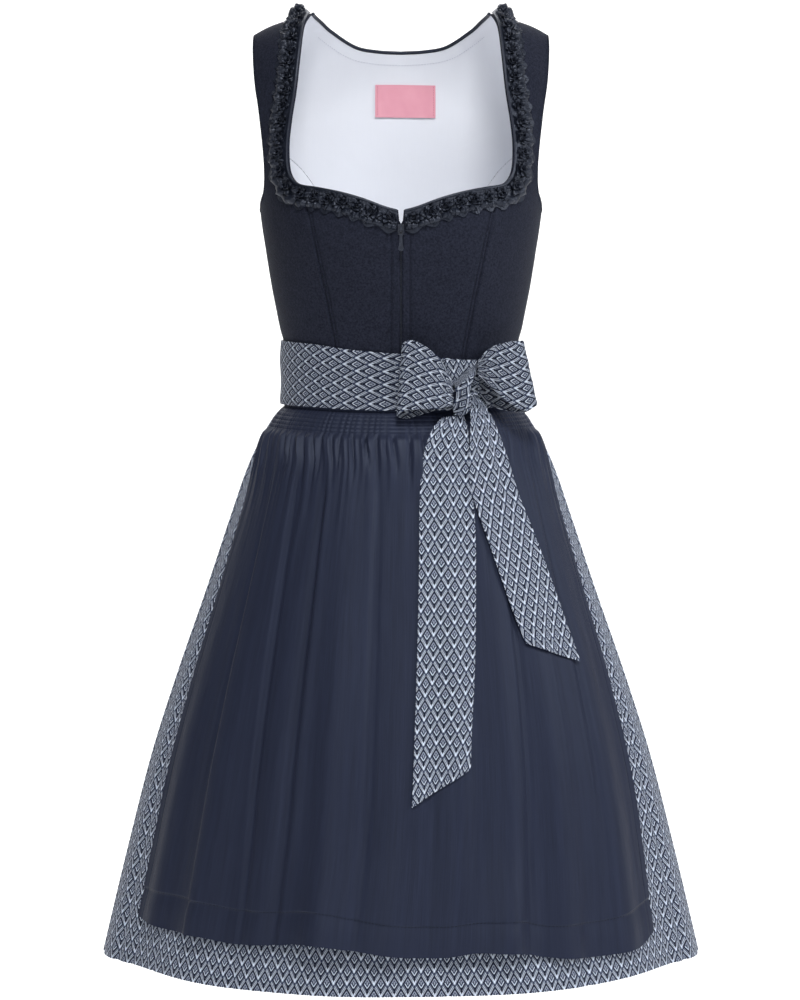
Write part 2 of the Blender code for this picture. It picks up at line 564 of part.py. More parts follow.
def back_pieces(name, out, wall, material):
    """The back's centre piece and its two side pieces, for the shell and, further in, for the lining."""
    princess = bodice_edge(BACK_PRINCESS, BACK_STEPS["seam"], back=True)
    side_seam = np.stack([np.full(len(princess), math.pi / 2), np.linspace(WAIST_Z, UNDERARM_Z, len(princess))], -1)
    underarm = (smooth(BODY, "half_width", UNDERARM_Z), UNDERARM_Z)
    side_foot = bodice_edge([(BODY[-1].half_width, WAIST_Z), BACK_PRINCESS[0]], BACK_STEPS["side"], back=True)
    arm_low = bodice_edge([underarm] + ARMHOLE_LOW, BACK_STEPS["side"], back=True)
    angle, z = patch(side_foot, arm_low, side_seam, princess)
    angle[:, -1], z[:, -1] = set_back(princess, 1).T
    panel_pair(name + "_side", angle, z, out, wall, material, back=True)

    left = joined(princess, bodice_edge(ARMHOLE_HIGH, BACK_STEPS["arm"], back=True))
    right = np.stack([2 * math.pi - left[:, 0], left[:, 1]], -1)
    shoulder = bodice_edge(shoulder_line()[::-1], BACK_STEPS["shoulder"], back=True)
    half_top = joined(shoulder, bodice_edge(BACK_NECK, BACK_STEPS["neck"], back=True))
    half_foot = bodice_edge([BACK_PRINCESS[0], (0.0, WAIST_Z)], len(half_top) - 1, back=True)
    angle, z = patch(both_sides(half_foot), both_sides(half_top), left, right)
    seam_rows = len(princess)
    angle[:seam_rows, 0], z[:seam_rows, 0] = set_back(princess, -1).T
    angle[:seam_rows, -1], z[:seam_rows, -1] = 2 * math.pi - angle[:seam_rows, 0], z[:seam_rows, 0]
    face, normal = bodice(angle, z), bodice_normals(angle, z)
    seam = np.array([0, SEAM_GAP / 2, 0])
    cloth(name + "_centre", face + normal * out + seam, face + normal * (out - wall) + seam, material)


def label(material):
    """A bare rectangle on the back lining."""
    out = -(BODICE_WALL + LINING_WALL + SEAM_GAP + LABEL["clear"])
    x, z = np.meshgrid(np.linspace(LABEL["right"], LABEL["left"], 7), np.linspace(LABEL["bottom"], LABEL["top"], 4))
    angle = bodice_angle(x, z, back=True)
    face, normal = bodice(angle, z), bodice_normals(angle, z)
    seam = np.array([0, SEAM_GAP / 2, 0])
    cloth("label", face + normal * out + seam, face + normal * (out - LABEL_WALL) + seam, material)


def neck_binding(material):
    """A narrow band that caps the back neck edge of shell and lining."""
    edge = both_sides(bodice_edge(BACK_NECK, BACK_STEPS["neck"], back=True))
    face, normal = bodice(edge[:, 0], edge[:, 1]), bodice_normals(edge[:, 0], edge[:, 1])
    along = np.gradient(face, axis=0)
    up = unit(np.cross(normal, unit(along)))
    up *= np.where(up[:, 2:] < 0, -1, 1)
    seam = np.array([0, 0.0004, 0])
    foot, top = face + up * SEAM_GAP * 1.5 + seam, face + up * BINDING["height"] + seam
    thick = normal * BINDING["thick"]
    cloth("neck_binding", np.stack([foot, top]), np.stack([foot - thick, top - thick]), material)


def beside(x, turn, along, width):
    """Chart points at a distance across from a line, square to it on the bodice."""
    by_x, by_turn = chart_slopes(x, turn)
    normal = unit(np.cross(by_turn, by_x))
    away = unit(np.cross(unit(along), normal))
    centre = (1 - ease(x, 0.0, 0.030))[:, None]
    away = unit(away * (1 - centre) + np.array([0, 0, -1.0]) * centre)
    xx, tt, xt = (by_x * by_x).sum(-1), (by_turn * by_turn).sum(-1), (by_x * by_turn).sum(-1)
    ax, at = (away * by_x).sum(-1), (away * by_turn).sum(-1)
    area = xx * tt - xt**2
    return x + width * (ax * tt - at * xt) / area, turn + width * (at * xx - ax * xt) / area


def neck_trim(material):
    """The ruched strip: walked along the neck edge, laid on the bodice, its petals raised from its outer face."""
    edge = through(NECK_FOOT + NECK_SIDE[1:])
    edge[:, 0] = np.maximum(edge[:, 0], TRIM["centre_x"])
    turn = shoulder_turn(edge[:, 0], edge[:, 1])
    place = shoulder_chart(edge[:, 0], turn)
    reach = np.concatenate([[0], np.cumsum(np.linalg.norm(np.diff(place, axis=0), axis=1))])
    petals = round(reach[-1] / TRIM["pitch"])
    walked = np.linspace(0, reach[-1], petals * TRIM_STEPS + 1)
    x, turn = np.interp(walked, reach, edge[:, 0]), np.interp(walked, reach, turn)
    along = np.gradient(shoulder_chart(x, turn), axis=0)
    phase = 2 * math.pi * petals * walked / reach[-1]
    first, second = 0.5 + 0.5 * np.cos(phase), 0.5 - 0.5 * np.cos(phase)
    outer, inner = [], []
    crest = TRIM["crest"] * ease(walked, reach[-1] - TRIM["crest_length"], reach[-1])
    for width, flat, by_first, by_second, by_crest in TRIM_ACROSS:
        scallop = TRIM["scallop"] * (second - 0.5) if width == TRIM["width"] else 0
        row_x, row_turn = beside(x, turn, along, width + scallop)
        row_x = np.maximum(row_x, TRIM["centre_x"])
        row_turn = np.maximum(row_turn, 0)
        face = shoulder_chart(row_x, row_turn)
        by_x, by_turn = chart_slopes(row_x, row_turn)
        lift = unit(np.cross(by_turn, by_x))
        face = face + lift * TRIM["clear"] - np.array([0, SEAM_GAP / 2, 0])
        inner.append(face)
        height = TRIM["petal"] * (flat + by_first * first + by_second * second) + by_crest * crest
        outer.append(face + lift * (TRIM["base"] + height)[:, None])
    outer, inner = np.array(outer[::-1]), np.array(inner[::-1])
    cloth("neck_trim_r", outer, inner, material)
    cloth("neck_trim_l", mirrored(outer), mirrored(inner), material)


def hem_rise(angle):
    return smooth(HEM, "rise", np.degrees(np.arcsin(np.abs(np.sin(angle)))))


def skirt_row(angle, level):
    """Points along a row whose height follows the dropped waist and, at the foot, the hem's curve."""
    z = level - waist_drop(angle, level) + (hem_rise(angle) if level == HEM_Z else 0)
    return z, skirt(angle, z), normals(skirt_form, angle, z)


def skirt_pieces(material):
    """Front and back meet at the side seams; the back's gathers fade into half as many columns."""
    tilt = SEAM_GAP / 2 / BODY[-1].half_width
    outer, inner = [], []
    for level in SKIRT_LEVELS[::-1]:
        angle = np.linspace(-math.pi / 2 + tilt, math.pi / 2 - tilt, FRONT_COLUMNS + 1)
        z, face, normal = skirt_row(angle, level)
        outer.append(face)
        inner.append(face - normal * SKIRT_WALL)
    cloth("skirt_front", outer, inner, material)

    outer, inner = [], []
    for level in SKIRT_LEVELS[::-1]:
        columns = SKIRT_GATHERS["count"] * (2 if level > SKIRT_GATHERS["end_z"] else 1)
        angle = np.linspace(math.pi / 2 + tilt, 1.5 * math.pi - tilt, columns + 1)
        z, face, normal = skirt_row(angle, level)
        outer.append(face + normal * skirt_gathers(angle, z)[:, None])
        inner.append(face - normal * SKIRT_WALL)
    cloth("skirt_back", outer, inner, material)


def apron_hem_rise(place, level):
    """The edge's waves pass into those of the turned-up fold's line, which fade out above it."""
    fold_z = APRON_HEM_Z + APRON_FOLD_HEIGHT
    fold, edge = smooth(APRON_HEM, "fold", place), smooth(APRON_HEM, "edge", place)
    low = np.clip((fold_z - level) / APRON_FOLD_HEIGHT, 0, 1)
    return (fold + (edge - fold) * low) * ease(level, -0.80, fold_z)


def apron(material):
    """Shirred at the top with a ridge for each gather; the columns halve twice on the way down."""
    outer, inner = [], []
    for level, share in APRON_LEVELS[::-1]:
        place = np.linspace(0, 1, APRON_GATHERS["count"] // 2 * share + 1)
        angle = apron_angle(place, level)
        z = level - waist_drop(angle, level)
        z = z + apron_hem_rise(place, level)
        lift = APRON_WALL + apron_gathers(place, level)
        if level > WAIST_Z:
            base = bodice(angle, z)
            inner.append(pushed_out(base, APRON_CLEAR["waist"] + 0 * place))
            outer.append(pushed_out(base, APRON_CLEAR["waist"] + lift))
            continue
        drop = folds(APRON_FOLDS, place, z, APRON_HEM_Z) + apron_clear(z)
        inner.append(skirt(angle, z, drop))
        outer.append(skirt(angle, z, drop + lift))
    cloth("apron", outer, inner, material)


def tie_band(material):
    """One strip round the waist whose two ends meet behind the knot."""
    turned = np.linspace(TIE_START - 360 + 0.2, TIE_START - 0.2, 45)
    turned = np.where(turned < -180, turned + 360, turned)
    top, foot = smooth(TIE_EDGES, "top", turned), smooth(TIE_EDGES, "bottom", turned)
    share = np.linspace(0, 1, 5)[:, None]
    z = foot + share * (top - foot)
    angle = np.radians(turned)[None] + 0 * z
    crease = TIE_CREASE * np.cos(share * 2 * math.pi * 1.5 + np.sin(2 * angle))
    cloth("tie_band", tie(angle, z, crease), tie(angle, z, crease - TIE_WALL), material)


def bow_loop(name, shape, material):
    """The tie runs out from the knot in front, folds round and comes back behind: a teardrop seen from above."""
    root, tip = np.array(shape["root"]), np.array(shape["tip"])
    outward = (tip - root) / np.linalg.norm(tip - root)
    backward = np.array([-outward[1], outward[0]]) * math.copysign(1, outward[0])

    def surface(path, width):
        reach = (1 - np.cos(2 * math.pi * path)) / 2
        bulge = -shape["half_gap"] * np.sin(2 * math.pi * path) * np.abs(np.sin(math.pi * path)) ** 0.5
        bulge = bulge - 0.0018 * np.cos(math.pi * path)
        stretch = reach * (1 + shape["lean"] * (0.5 - width))
        flat = root + (tip - root) * stretch[..., None] + backward * bulge[..., None]
        top = smooth(shape["rows"], "top", reach)
        low_front, low_back = (smooth(shape["rows"], key, reach) for key in ("bottom", "back_bottom"))
        behind = ease(path, 0.35, 0.65)
        foot = low_front + (low_back - low_front) * behind
        return np.concatenate([flat, (foot + width * (top - foot))[..., None]], -1)

    path, width = np.meshgrid(np.linspace(0.03, 0.97, 17), np.linspace(0, 1, 4))
    face = surface(path, width)
    normal = normals(surface, path, width, 1e-3)
    middle = np.append((root + tip) / 2, 0)
    if ((face - middle)[..., :2] * normal[..., :2]).sum() < 0:
        normal = -normal
        face, normal = face[:, ::-1], normal[:, ::-1]
    cloth(name, face, face - normal * TIE_WALL, material)


def knot_frame():
    """The knot's place on the band's face, and the level directions out of it and along it."""
    angle = tie_angle(KNOT["x"])
    outward = normals(tie, np.array(angle), np.array(KNOT["z"]))
    return tie(np.array(angle), KNOT["z"]), outward, np.array([-outward[1], outward[0], 0.0])


def bow_knot(material):
    """Closed rings, one above the other, with slanting ridges in front."""
    face, outward, side = knot_frame()
    turn = np.linspace(0, 2 * math.pi, KNOT["sides"] + 1)[:-1]
    low, high = KNOT_ROWS[-1].z, KNOT_ROWS[0].z
    rings = []
    for row in KNOT_ROWS:
        across, deep = np.sin(turn), np.cos(turn)
        slant = 5 * across + 9 * (row.z - low) / (high - low)
        ridge = 1 + KNOT["ridge"] * np.cos(slant) * ease(deep, 0.0, 0.4)
        inner = face + outward * KNOT["clear"]
        ring = inner + (row.middle + row.half_width * across * ridge)[:, None] * side
        ring = ring + (row.half_depth * (1 + deep * ridge))[:, None] * outward
        ring[:, 2] = row.z
        rings.append(ring)
    mesh = bpy.data.meshes.new("bow_knot")
    shape = bmesh.new()
    rows = [[shape.verts.new(point) for point in ring] for ring in rings]
    for upper, lower in zip(rows, rows[1:]):
        for k in range(KNOT["sides"]):
            shape.faces.new((upper[k - 1], upper[k], lower[k], lower[k - 1]))
    for ring, points in ((rows[0], rings[0]), (rows[-1], rings[-1])):
        pole = shape.verts.new(points.mean(0))
        for k in range(KNOT["sides"]):
            shape.faces.new((ring[k - 1], ring[k], pole))
    bmesh.ops.recalc_face_normals(shape, faces=shape.faces)
    shape.to_mesh(mesh)
    shape.free()
    place_object("bow_knot", mesh, material)


def tie_tail(name, table, columns, material):
    """A hanging end laid on the apron's front, from its edge points at each row."""
    rows = np.array(table, float)
    rows = through(rows, 2)[::-1]
    share = np.linspace(0, 1, columns + 1)
    x = rows[:, None, 0] + (rows[:, None, 2] - rows[:, None, 0]) * share
    z = rows[:, None, 1] + (rows[:, None, 3] - rows[:, None, 1]) * share
    angle = skirt_angle(x, z)
    out = rows[:, None, 4] + 0 * x
    cloth(name, apron_front(angle, z, out + TIE_WALL), apron_front(angle, z, out), material)


def box(name, size, middle):
    mesh = bpy.data.meshes.new(name)
    shape = bmesh.new()
    bmesh.ops.create_cube(shape, size=1.0)
    bmesh.ops.scale(shape, vec=size, verts=shape.verts)
    bmesh.ops.translate(shape, vec=middle, verts=shape.verts)
    shape.to_mesh(mesh)
    shape.free()
    return mesh


def cutter(name, size, middle):
    made = bpy.data.objects.new(name, box(name, size, middle))
    made.hide_render = True
    made.display_type = "WIRE"
    bpy.data.collections["cutters"].objects.link(made)
    return made


def combine(target, other, operation):
    change = target.modifiers.new(operation.lower(), "BOOLEAN")
    change.operation = operation
    change.object = other


def zip_pieces(tape_material, metal):
    """Tape behind the slit, slider on the cloth, and the pull hanging by its bar in the slider's arch."""
    out = -(BODICE_WALL + ZIP_TAPE["clear"])
    x, z = np.meshgrid(np.linspace(-ZIP_TAPE["half_width"], ZIP_TAPE["half_width"], 5),
                       np.linspace(ZIP_TAPE["bottom"], ZIP_TAPE["top"], 8))
    angle = bodice_angle(x, z)
    face, normal = bodice(angle, z), bodice_normals(angle, z)
    cloth("zip_tape", face + normal * out, face + normal * (out - ZIP_TAPE["thick"]), tape_material)

    cloth_y = bodice(np.array(0.0), np.array(SLIDER["z"]))[1]
    body_y = cloth_y - SLIDER["off"] - SLIDER["thick"] / 2
    front_y = body_y - SLIDER["thick"] / 2
    pivot_y = front_y - (ARCH["rise"] - ARCH["strap"]) / 2
    slider = place_object("zip_slider", box("zip_slider", (SLIDER["width"], SLIDER["thick"], SLIDER["length"]),
                                            (0, body_y, SLIDER["z"])), metal)
    sink = 0.0005
    arch = cutter("slider_arch", (ARCH["width"], ARCH["rise"] + sink, ARCH["length"]),
                  (0, front_y - (ARCH["rise"] - sink) / 2, SLIDER["z"]))
    window = cutter("arch_window", (ARCH["width"] * 2, ARCH["rise"] - ARCH["strap"],
                                    ARCH["length"] - 2 * ARCH["strap"]), (0, pivot_y, SLIDER["z"]))
    combine(arch, window, "DIFFERENCE")
    combine(slider, arch, "UNION")

    pull = bpy.data.objects.new("zip_pull", pull_mesh())
    pull.data.materials.append(metal)
    pull.location = (0, pivot_y, SLIDER["z"])
    bpy.data.collections["dirndl"].objects.link(pull)
    eye = cutter("pull_eye", (PULL["eye_width"], PULL["thick"] * 3, PULL["eye_length"]),
                 (0, pivot_y, SLIDER["z"] - PULL["bar"] / 2 - PULL["eye_length"] / 2))
    combine(pull, eye, "DIFFERENCE")


def pull_mesh():
    """A flat teardrop, its hinge bar on the origin: half widths down its length, extruded to its thickness."""
    half = PULL["width"] / 2
    eye_half = PULL["eye_width"] / 2 + 0.0009
    neck_z = PULL["bar"] / 2 + PULL["eye_length"] + 0.0008
    end_z = PULL["length"] - PULL["bar"] / 2
    profile = [(-PULL["bar"] / 2, eye_half), (neck_z - 0.0012, eye_half), (neck_z + PULL["neck"] / 2, 0.0014)]
    round_z = end_z - half
    profile += [(round_z - half * math.cos(t) * 1.3, half * math.sin(t)) for t in np.linspace(0.75, 1.55, 3)]
    profile += [(round_z + half * math.sin(t), half * math.cos(t)) for t in np.linspace(0.4, 1.35, 4)]
    outline = [(width, -depth) for depth, width in profile] + [(-width, -depth) for depth, width in profile[::-1]]
    mesh = bpy.data.meshes.new("zip_pull")
    shape = bmesh.new()
    ring = [shape.verts.new((x, PULL["thick"] / 2, z)) for x, z in outline]
    flat = shape.faces.new(ring)
    risen = bmesh.ops.extrude_face_region(shape, geom=[flat])["geom"]
    lifted = [item for item in risen if isinstance(item, bmesh.types.BMVert)]
    bmesh.ops.translate(shape, vec=(0, -PULL["thick"], 0), verts=lifted)
    bmesh.ops.recalc_face_normals(shape, faces=shape.faces)
    shape.to_mesh(mesh)
    shape.free()
    return mesh


def main():
    for old in list(bpy.data.objects):
        bpy.data.objects.remove(old)
    for name in ("dirndl", "cutters"):
        bpy.context.scene.collection.children.link(bpy.data.collections.new(name))
    wool = make_material("bodice_cloth", (0.020, 0.023, 0.034), 0.85)
    lining_cloth = make_material("lining_cloth", (0.74, 0.76, 0.86), 0.6)
    pink = make_material("label_cloth", (0.80, 0.33, 0.42), 0.7)
    jacquard = make_material("jacquard", (0.12, 0.14, 0.21), 0.55)
    satin = make_material("apron_satin", (0.024, 0.030, 0.050), 0.45)
    ribbon = make_material("trim_ribbon", (0.012, 0.014, 0.020), 0.8)
    metal = make_material("zip_metal", (0.05, 0.055, 0.07), 0.4, 0.7)
    front_pieces(wool)
    back_pieces("bodice_back", 0.0, BODICE_WALL, wool)
    back_pieces("lining_back", -(BODICE_WALL + SEAM_GAP), LINING_WALL, lining_cloth)
    label(pink)
    neck_binding(ribbon)
    neck_trim(ribbon)
    skirt_pieces(jacquard)
    apron(satin)
    tie_band(jacquard)
    bow_loop("bow_loop_l", LOOP_L, jacquard)
    bow_loop("bow_loop_r", LOOP_R, jacquard)
    bow_knot(jacquard)
    tie_tail("tie_tail_long", TAIL_LONG, 4, jacquard)
    tie_tail("tie_tail_short", TAIL_SHORT, 4, jacquard)
    zip_pieces(ribbon, metal)


main()
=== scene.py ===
# Dirndl, worn and hollow: fine cloth shells worked out on the same form as the solids.
# Metres, +Z up, front faces -Y. An angle round the body is 0 at centre front, 90 degrees at the +X side.
import math

import bpy
import numpy as np
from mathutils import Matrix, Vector


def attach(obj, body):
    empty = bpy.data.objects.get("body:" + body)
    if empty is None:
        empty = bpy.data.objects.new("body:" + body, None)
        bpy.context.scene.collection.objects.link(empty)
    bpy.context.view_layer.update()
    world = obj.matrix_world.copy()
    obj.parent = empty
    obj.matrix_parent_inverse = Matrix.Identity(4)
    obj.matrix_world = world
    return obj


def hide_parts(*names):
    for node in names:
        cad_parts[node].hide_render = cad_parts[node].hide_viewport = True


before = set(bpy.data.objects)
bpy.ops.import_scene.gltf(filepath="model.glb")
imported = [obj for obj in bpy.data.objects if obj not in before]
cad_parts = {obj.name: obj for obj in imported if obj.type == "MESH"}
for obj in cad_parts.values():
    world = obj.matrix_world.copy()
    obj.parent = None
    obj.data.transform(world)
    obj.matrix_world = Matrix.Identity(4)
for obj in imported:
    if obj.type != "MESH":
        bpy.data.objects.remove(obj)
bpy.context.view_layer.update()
pi = math.pi
waistZ, hemZ, underarmZ = -0.385, -0.973, -0.208
seamGap = 0.00006
body = "dress"
twoSides = ((1, "_r"), (-1, "_l"))  # +X is on the right seen from the front

# The form: rows down the body, the skirt and the folds, in the sizes of the solids.
bodiceForm = {
    "z": [0.030, -0.040, -0.070, -0.110, -0.150, -0.172, -0.205, -0.225, -0.246, -0.266, -0.287, -0.308, -0.328,
          -0.345, -0.360, waistZ],
    "halfWidth": [0.1720, 0.1680, 0.1650, 0.1600, 0.1530, 0.1490, 0.1455, 0.1430, 0.1397, 0.1366, 0.1331, 0.1290,
                  0.1250, 0.1207, 0.1195, 0.1195],
    "front": [0.0780, 0.0810, 0.0840, 0.0900, 0.1030, 0.1120, 0.1210, 0.1230, 0.1210, 0.1170, 0.1120, 0.1070, 0.1020,
              0.0985, 0.0965, 0.0950],
    "back": [0.0830, 0.0860, 0.0880, 0.0900, 0.0930, 0.0950, 0.0970, 0.0975, 0.0970, 0.0955, 0.0940, 0.0920, 0.0900,
             0.0885, 0.0870, 0.0865],
    "roundness": 2.3, "wall": 0.0015, "liningWall": 0.0010,
    "cupX": 0.074, "cupZ": -0.232, "cupWidth": 0.036, "cupHeight": 0.046, "cupOut": 0.0045,
}
shoulder = {"neckX": 0.0930, "neckZ": -0.0045, "tipX": 0.1510, "tipZ": -0.0270, "arch": 0.0027, "round": 0.105}
skirtForm = {
    "z": [waistZ, -0.4068, -0.412, -0.432, -0.473, -0.515, -0.598, -0.682, -0.766, -0.850, hemZ],
    "halfWidth": [0.1195, 0.1200, 0.1250, 0.1386, 0.1580, 0.1727, 0.2000, 0.2285, 0.2545, 0.2755, 0.3048],
    "frontSpread": 0.79, "backSpread": 0.85, "waistDrop": 0.0048, "hemRoundness": 2.0, "wall": 0.0015,
    "hemTurn": [0, 33, 57, 75, 90], "hemRise": [-0.0006, -0.0010, 0.0030, 0.0025, 0.0005], "hemFrom": -0.885,
}
# Folds as (place, half width, depth, top): degrees round the skirt, or share across the apron.
skirtFolds = [(-74, 15, 0.0105, -0.46), (-47, 16, 0.0030, -0.70), (-12, 15, 0.0030, -0.75), (24, 17, 0.0030, -0.72),
              (50, 13, 0.0030, -0.70), (74, 15, 0.0105, -0.46), (108, 10, 0.0085, -0.46), (129, 9, 0.0100, -0.45),
              (150, 10, 0.0080, -0.47), (170, 9, 0.0110, -0.45), (190, 9, 0.0080, -0.48), (209, 9, 0.0105, -0.45),
              (231, 10, 0.0090, -0.46), (253, 9, 0.0095, -0.45)]
apronFolds = [(0.055, 0.055, 0.0045, -0.48), (0.175, 0.060, 0.0065, -0.45), (0.290, 0.055, 0.0070, -0.44),
              (0.395, 0.048, 0.0080, -0.44), (0.505, 0.052, 0.0055, -0.47), (0.595, 0.042, 0.0070, -0.45),
              (0.685, 0.045, 0.0065, -0.46), (0.785, 0.050, 0.0075, -0.44), (0.905, 0.060, 0.0055, -0.46),
              (0.455, 0.170, 0.0120, -0.80), (0.665, 0.090, 0.0120, -0.82)]
apronForm = {
    "z": [-0.366, -0.412, -0.426, -0.464, -0.530, -0.700, -0.810, -0.940],
    "left": [-80, -80, -79, -69, -66.3, -64.4, -63.8, -63.3], "right": [80, 80, 79, 70, 66.8, 64, 62, 58],
    "topZ": -0.366, "hemZ": -0.934, "wall": 0.0010, "clearWaist": 0.0004, "clearHem": 0.0020,
    "solidWall": 0.0012, "gatherTop": -0.4065, "gatherFull": -0.420, "gatherEnd": -0.500, "gatherDepth": 0.0012,
}
# How far the apron's hem rises, by the share across it: its lower edge, and the line where it is folded up.
apronHem = {
    "place": [0.0, 0.11, 0.18, 0.245, 0.32, 0.39, 0.465, 0.565, 0.645, 0.685, 0.755, 0.85, 0.94, 1.0],
    "edge": [0.0120, 0.0075, 0.0080, 0.0040, 0.0065, 0.0115, 0.0055, -0.0015, 0.0030, 0.0020, -0.0070, -0.0120,
             -0.0100, 0.0010],
    "fold": [0.0120, 0.0115, 0.0110, 0.0070, 0.0080, 0.0125, 0.0040, -0.0020, 0.0015, 0.0020, -0.0070, -0.0085,
             -0.0025, 0.0040],
    "foldHigh": 0.0295, "from": -0.80,
}
tieForm = {"halfWidth": 0.1250, "front": 0.1006, "back": 0.0912, "wall": 0.0013, "start": 31.5,
           "angle": [-180, -90, -45, -20, 0, 20, 34, 60, 90, 180],
           "top": [-0.3420, -0.3405, -0.3440, -0.3500, -0.3540, -0.3585, -0.3605, -0.3500, -0.3410, -0.3420],
           "foot": [-0.4050, -0.4060, -0.4075, -0.4100, -0.4108, -0.4105, -0.4090, -0.4075, -0.4060, -0.4050]}

# Edges of the pieces as (x, z) seen from the front, for the +X side.
zipEdge = [(0.0004, waistZ), (0.0004, -0.236), (0.0012, -0.226), (0.0026, -0.2110)]
neckFoot = [(0.0026, -0.2110), (0.016, -0.2074), (0.038, -0.1992), (0.0605, -0.1927), (0.083, -0.1878),
            (0.098, -0.1850)]
neckSide = [(0.098, -0.1850), (0.1058, -0.1812), (0.1115, -0.1720), (0.1135, -0.158), (0.1133, -0.1385),
            (0.1105, -0.1157), (0.1060, -0.0876), (0.1025, -0.0530), (0.0990, -0.0200), (0.0930, -0.0045)]
frontPrincess = [(0.0625, waistZ), (0.0670, -0.343), (0.0800, -0.275), (0.0930, -0.213), (0.098, -0.1850)]
backPrincess = [(0.052, waistZ), (0.055, -0.330), (0.062, -0.270), (0.073, -0.222), (0.087, -0.188),
                (0.104, -0.163), (0.121, -0.148), (0.1408, -0.138)]
armholeHigh = [(0.1408, -0.138), (0.1424, -0.124), (0.1450, -0.103), (0.1483, -0.082), (0.1502, -0.062),
               (0.1512, -0.042), (0.1510, -0.0270)]
armholeLow = [(0.1448, -0.206), (0.1410, -0.196), (0.1388, -0.182), (0.1387, -0.165), (0.1397, -0.150),
              (0.1408, -0.138)]
backNeck = [(0.0930, -0.0045), (0.0850, -0.0105), (0.0745, -0.0190), (0.0495, -0.0335), (0.0260, -0.0378),
            (0.0, -0.0390)]


def curve(xs, ys, at):  # a smooth line through a table: cubic Hermite with limited slopes
    order = np.argsort(xs)
    xs, ys = np.array(xs, float)[order], np.array(ys, float)[order]
    step = np.diff(xs)
    slope = np.diff(ys) / step
    inner = np.where(slope[1:] * slope[:-1] > 0, 2 * slope[1:] * slope[:-1] / (slope[1:] + slope[:-1] + 1e-12), 0)
    tangent = np.concatenate([slope[:1], inner, slope[-1:]])
    at = np.clip(np.asarray(at, float), xs[0], xs[-1])
    k = np.clip(np.searchsorted(xs, at) - 1, 0, len(xs) - 2)
    t = (at - xs[k]) / step[k]
    rise = (2 * t**3 - 3 * t**2 + 1) * ys[k] + (3 * t**2 - 2 * t**3) * ys[k + 1]
    return rise + step[k] * ((t**3 - 2 * t**2 + t) * tangent[k] + (t**3 - t**2) * tangent[k + 1])


def ease(value, start, end):  # 0 at start, 1 at end, flat at both
    t = np.clip((np.asarray(value, float) - start) / (end - start), 0, 1)
    return t * t * (3 - 2 * t)


def bell(value, centre, width):  # 1 on the centre, falling off to both sides
    return np.exp(-((value - centre) / width) ** 2)


def ringPoint(angle, halfWidth, depth, roundness):  # a superellipse seen from above
    sine, cosine = np.sin(angle), np.cos(angle)
    return (halfWidth * np.sign(sine) * np.abs(sine) ** (2 / roundness),
            -depth * np.sign(cosine) * np.abs(cosine) ** (2 / roundness))


def stack(x, y, z):  # three arrays as one array of points
    return np.stack(np.broadcast_arrays(x, y, z), -1).astype(float)


def unit(vectors):  # each scaled to length 1
    return vectors / np.maximum(np.linalg.norm(vectors, axis=-1, keepdims=True), 1e-12)


def ridgeZ(x):  # the shoulder ridge: a straight fall, arched two thirds of the way out
    s = shoulder
    share = (np.abs(x) - s["neckX"]) / (s["tipX"] - s["neckX"])
    within = np.clip(share, 0, 1)
    return s["neckZ"] + (s["tipZ"] - s["neckZ"]) * share + s["arch"] * 6.75 * within**2 * (1 - within)


def bodicePoint(angle, z):  # the superellipse rows, the cups' fullness, rounded over to the shoulder ridge
    f = bodiceForm
    front = np.cos(angle) >= 0
    depth = np.where(front, curve(f["z"], f["front"], z), curve(f["z"], f["back"], z))
    x, y = ringPoint(angle, curve(f["z"], f["halfWidth"], z), depth, f["roundness"])
    bump = bell(np.abs(x), f["cupX"], f["cupWidth"]) * bell(z, f["cupZ"], f["cupHeight"])
    y = y - np.where(front, f["cupOut"] * bump * np.abs(np.cos(angle)), 0)
    below = np.clip((ridgeZ(x) - z) / shoulder["round"], 0, 1)
    return stack(x, y * np.sqrt(1 - (1 - below) ** 2), z)


def bodiceAngle(x, z, back=False):  # the superellipse solved for the angle at which it lies at x
    f = bodiceForm
    share = np.clip(np.abs(x) / curve(f["z"], f["halfWidth"], z), 0, 1) ** (f["roundness"] / 2)
    angle = np.sign(x) * np.arcsin(share)
    return pi - angle if back else angle


def chart(x, turn, back=False):  # the bodice by x and by the turn over from the shoulder ridge
    fall = np.where(turn < pi / 2, 1 - np.cos(turn), 1 + turn - pi / 2)
    z = ridgeZ(x) - shoulder["round"] * fall
    return bodicePoint(bodiceAngle(x, z, back), z)


def chartTurn(x, z):  # the chart's turn at this height
    fall = np.maximum(ridgeZ(x) - z, 0) / shoulder["round"]
    return np.where(fall < 1, np.arccos(1 - np.minimum(fall, 1)), pi / 2 + fall - 1)


def chartSlopes(x, turn, back=False, step=1e-4):  # by x and by the turn, from points a step to each side
    over = np.maximum(turn, step)
    return ((chart(x + step, over, back) - chart(x - step, over, back)) / (2 * step),
            (chart(x, over + step, back) - chart(x, over - step, back)) / (2 * step))


def bodiceNormal(angle, z, step=1e-4):  # outward, taken from the chart near the shoulder ridge
    place = bodicePoint(angle, z)
    x, back = place[..., 0], np.cos(angle) < 0
    low = np.minimum(z, ridgeZ(x) - 0.002)
    plain = unit(np.cross(bodicePoint(angle + step, low) - bodicePoint(angle - step, low),
                          bodicePoint(angle, low + step) - bodicePoint(angle, low - step)))
    near = np.zeros_like(place)
    for isBack in (False, True):
        byX, byTurn = chartSlopes(x, chartTurn(x, z), isBack)
        side = unit(np.cross(byTurn, byX)) * (-1 if isBack else 1)
        near = np.where((back == isBack)[..., None], side, near)
    return np.where((ridgeZ(x) - z < 0.5 * shoulder["round"])[..., None], near, plain)


def onBodice(angle, z):  # a place on the bodice and its outward normal
    return bodicePoint(angle, z), bodiceNormal(angle, z)


def seamShift(back):  # front pieces lie half a gap forward of the side seams, back pieces half a gap behind
    return np.array([0, seamGap / 2 if back else -seamGap / 2, 0])


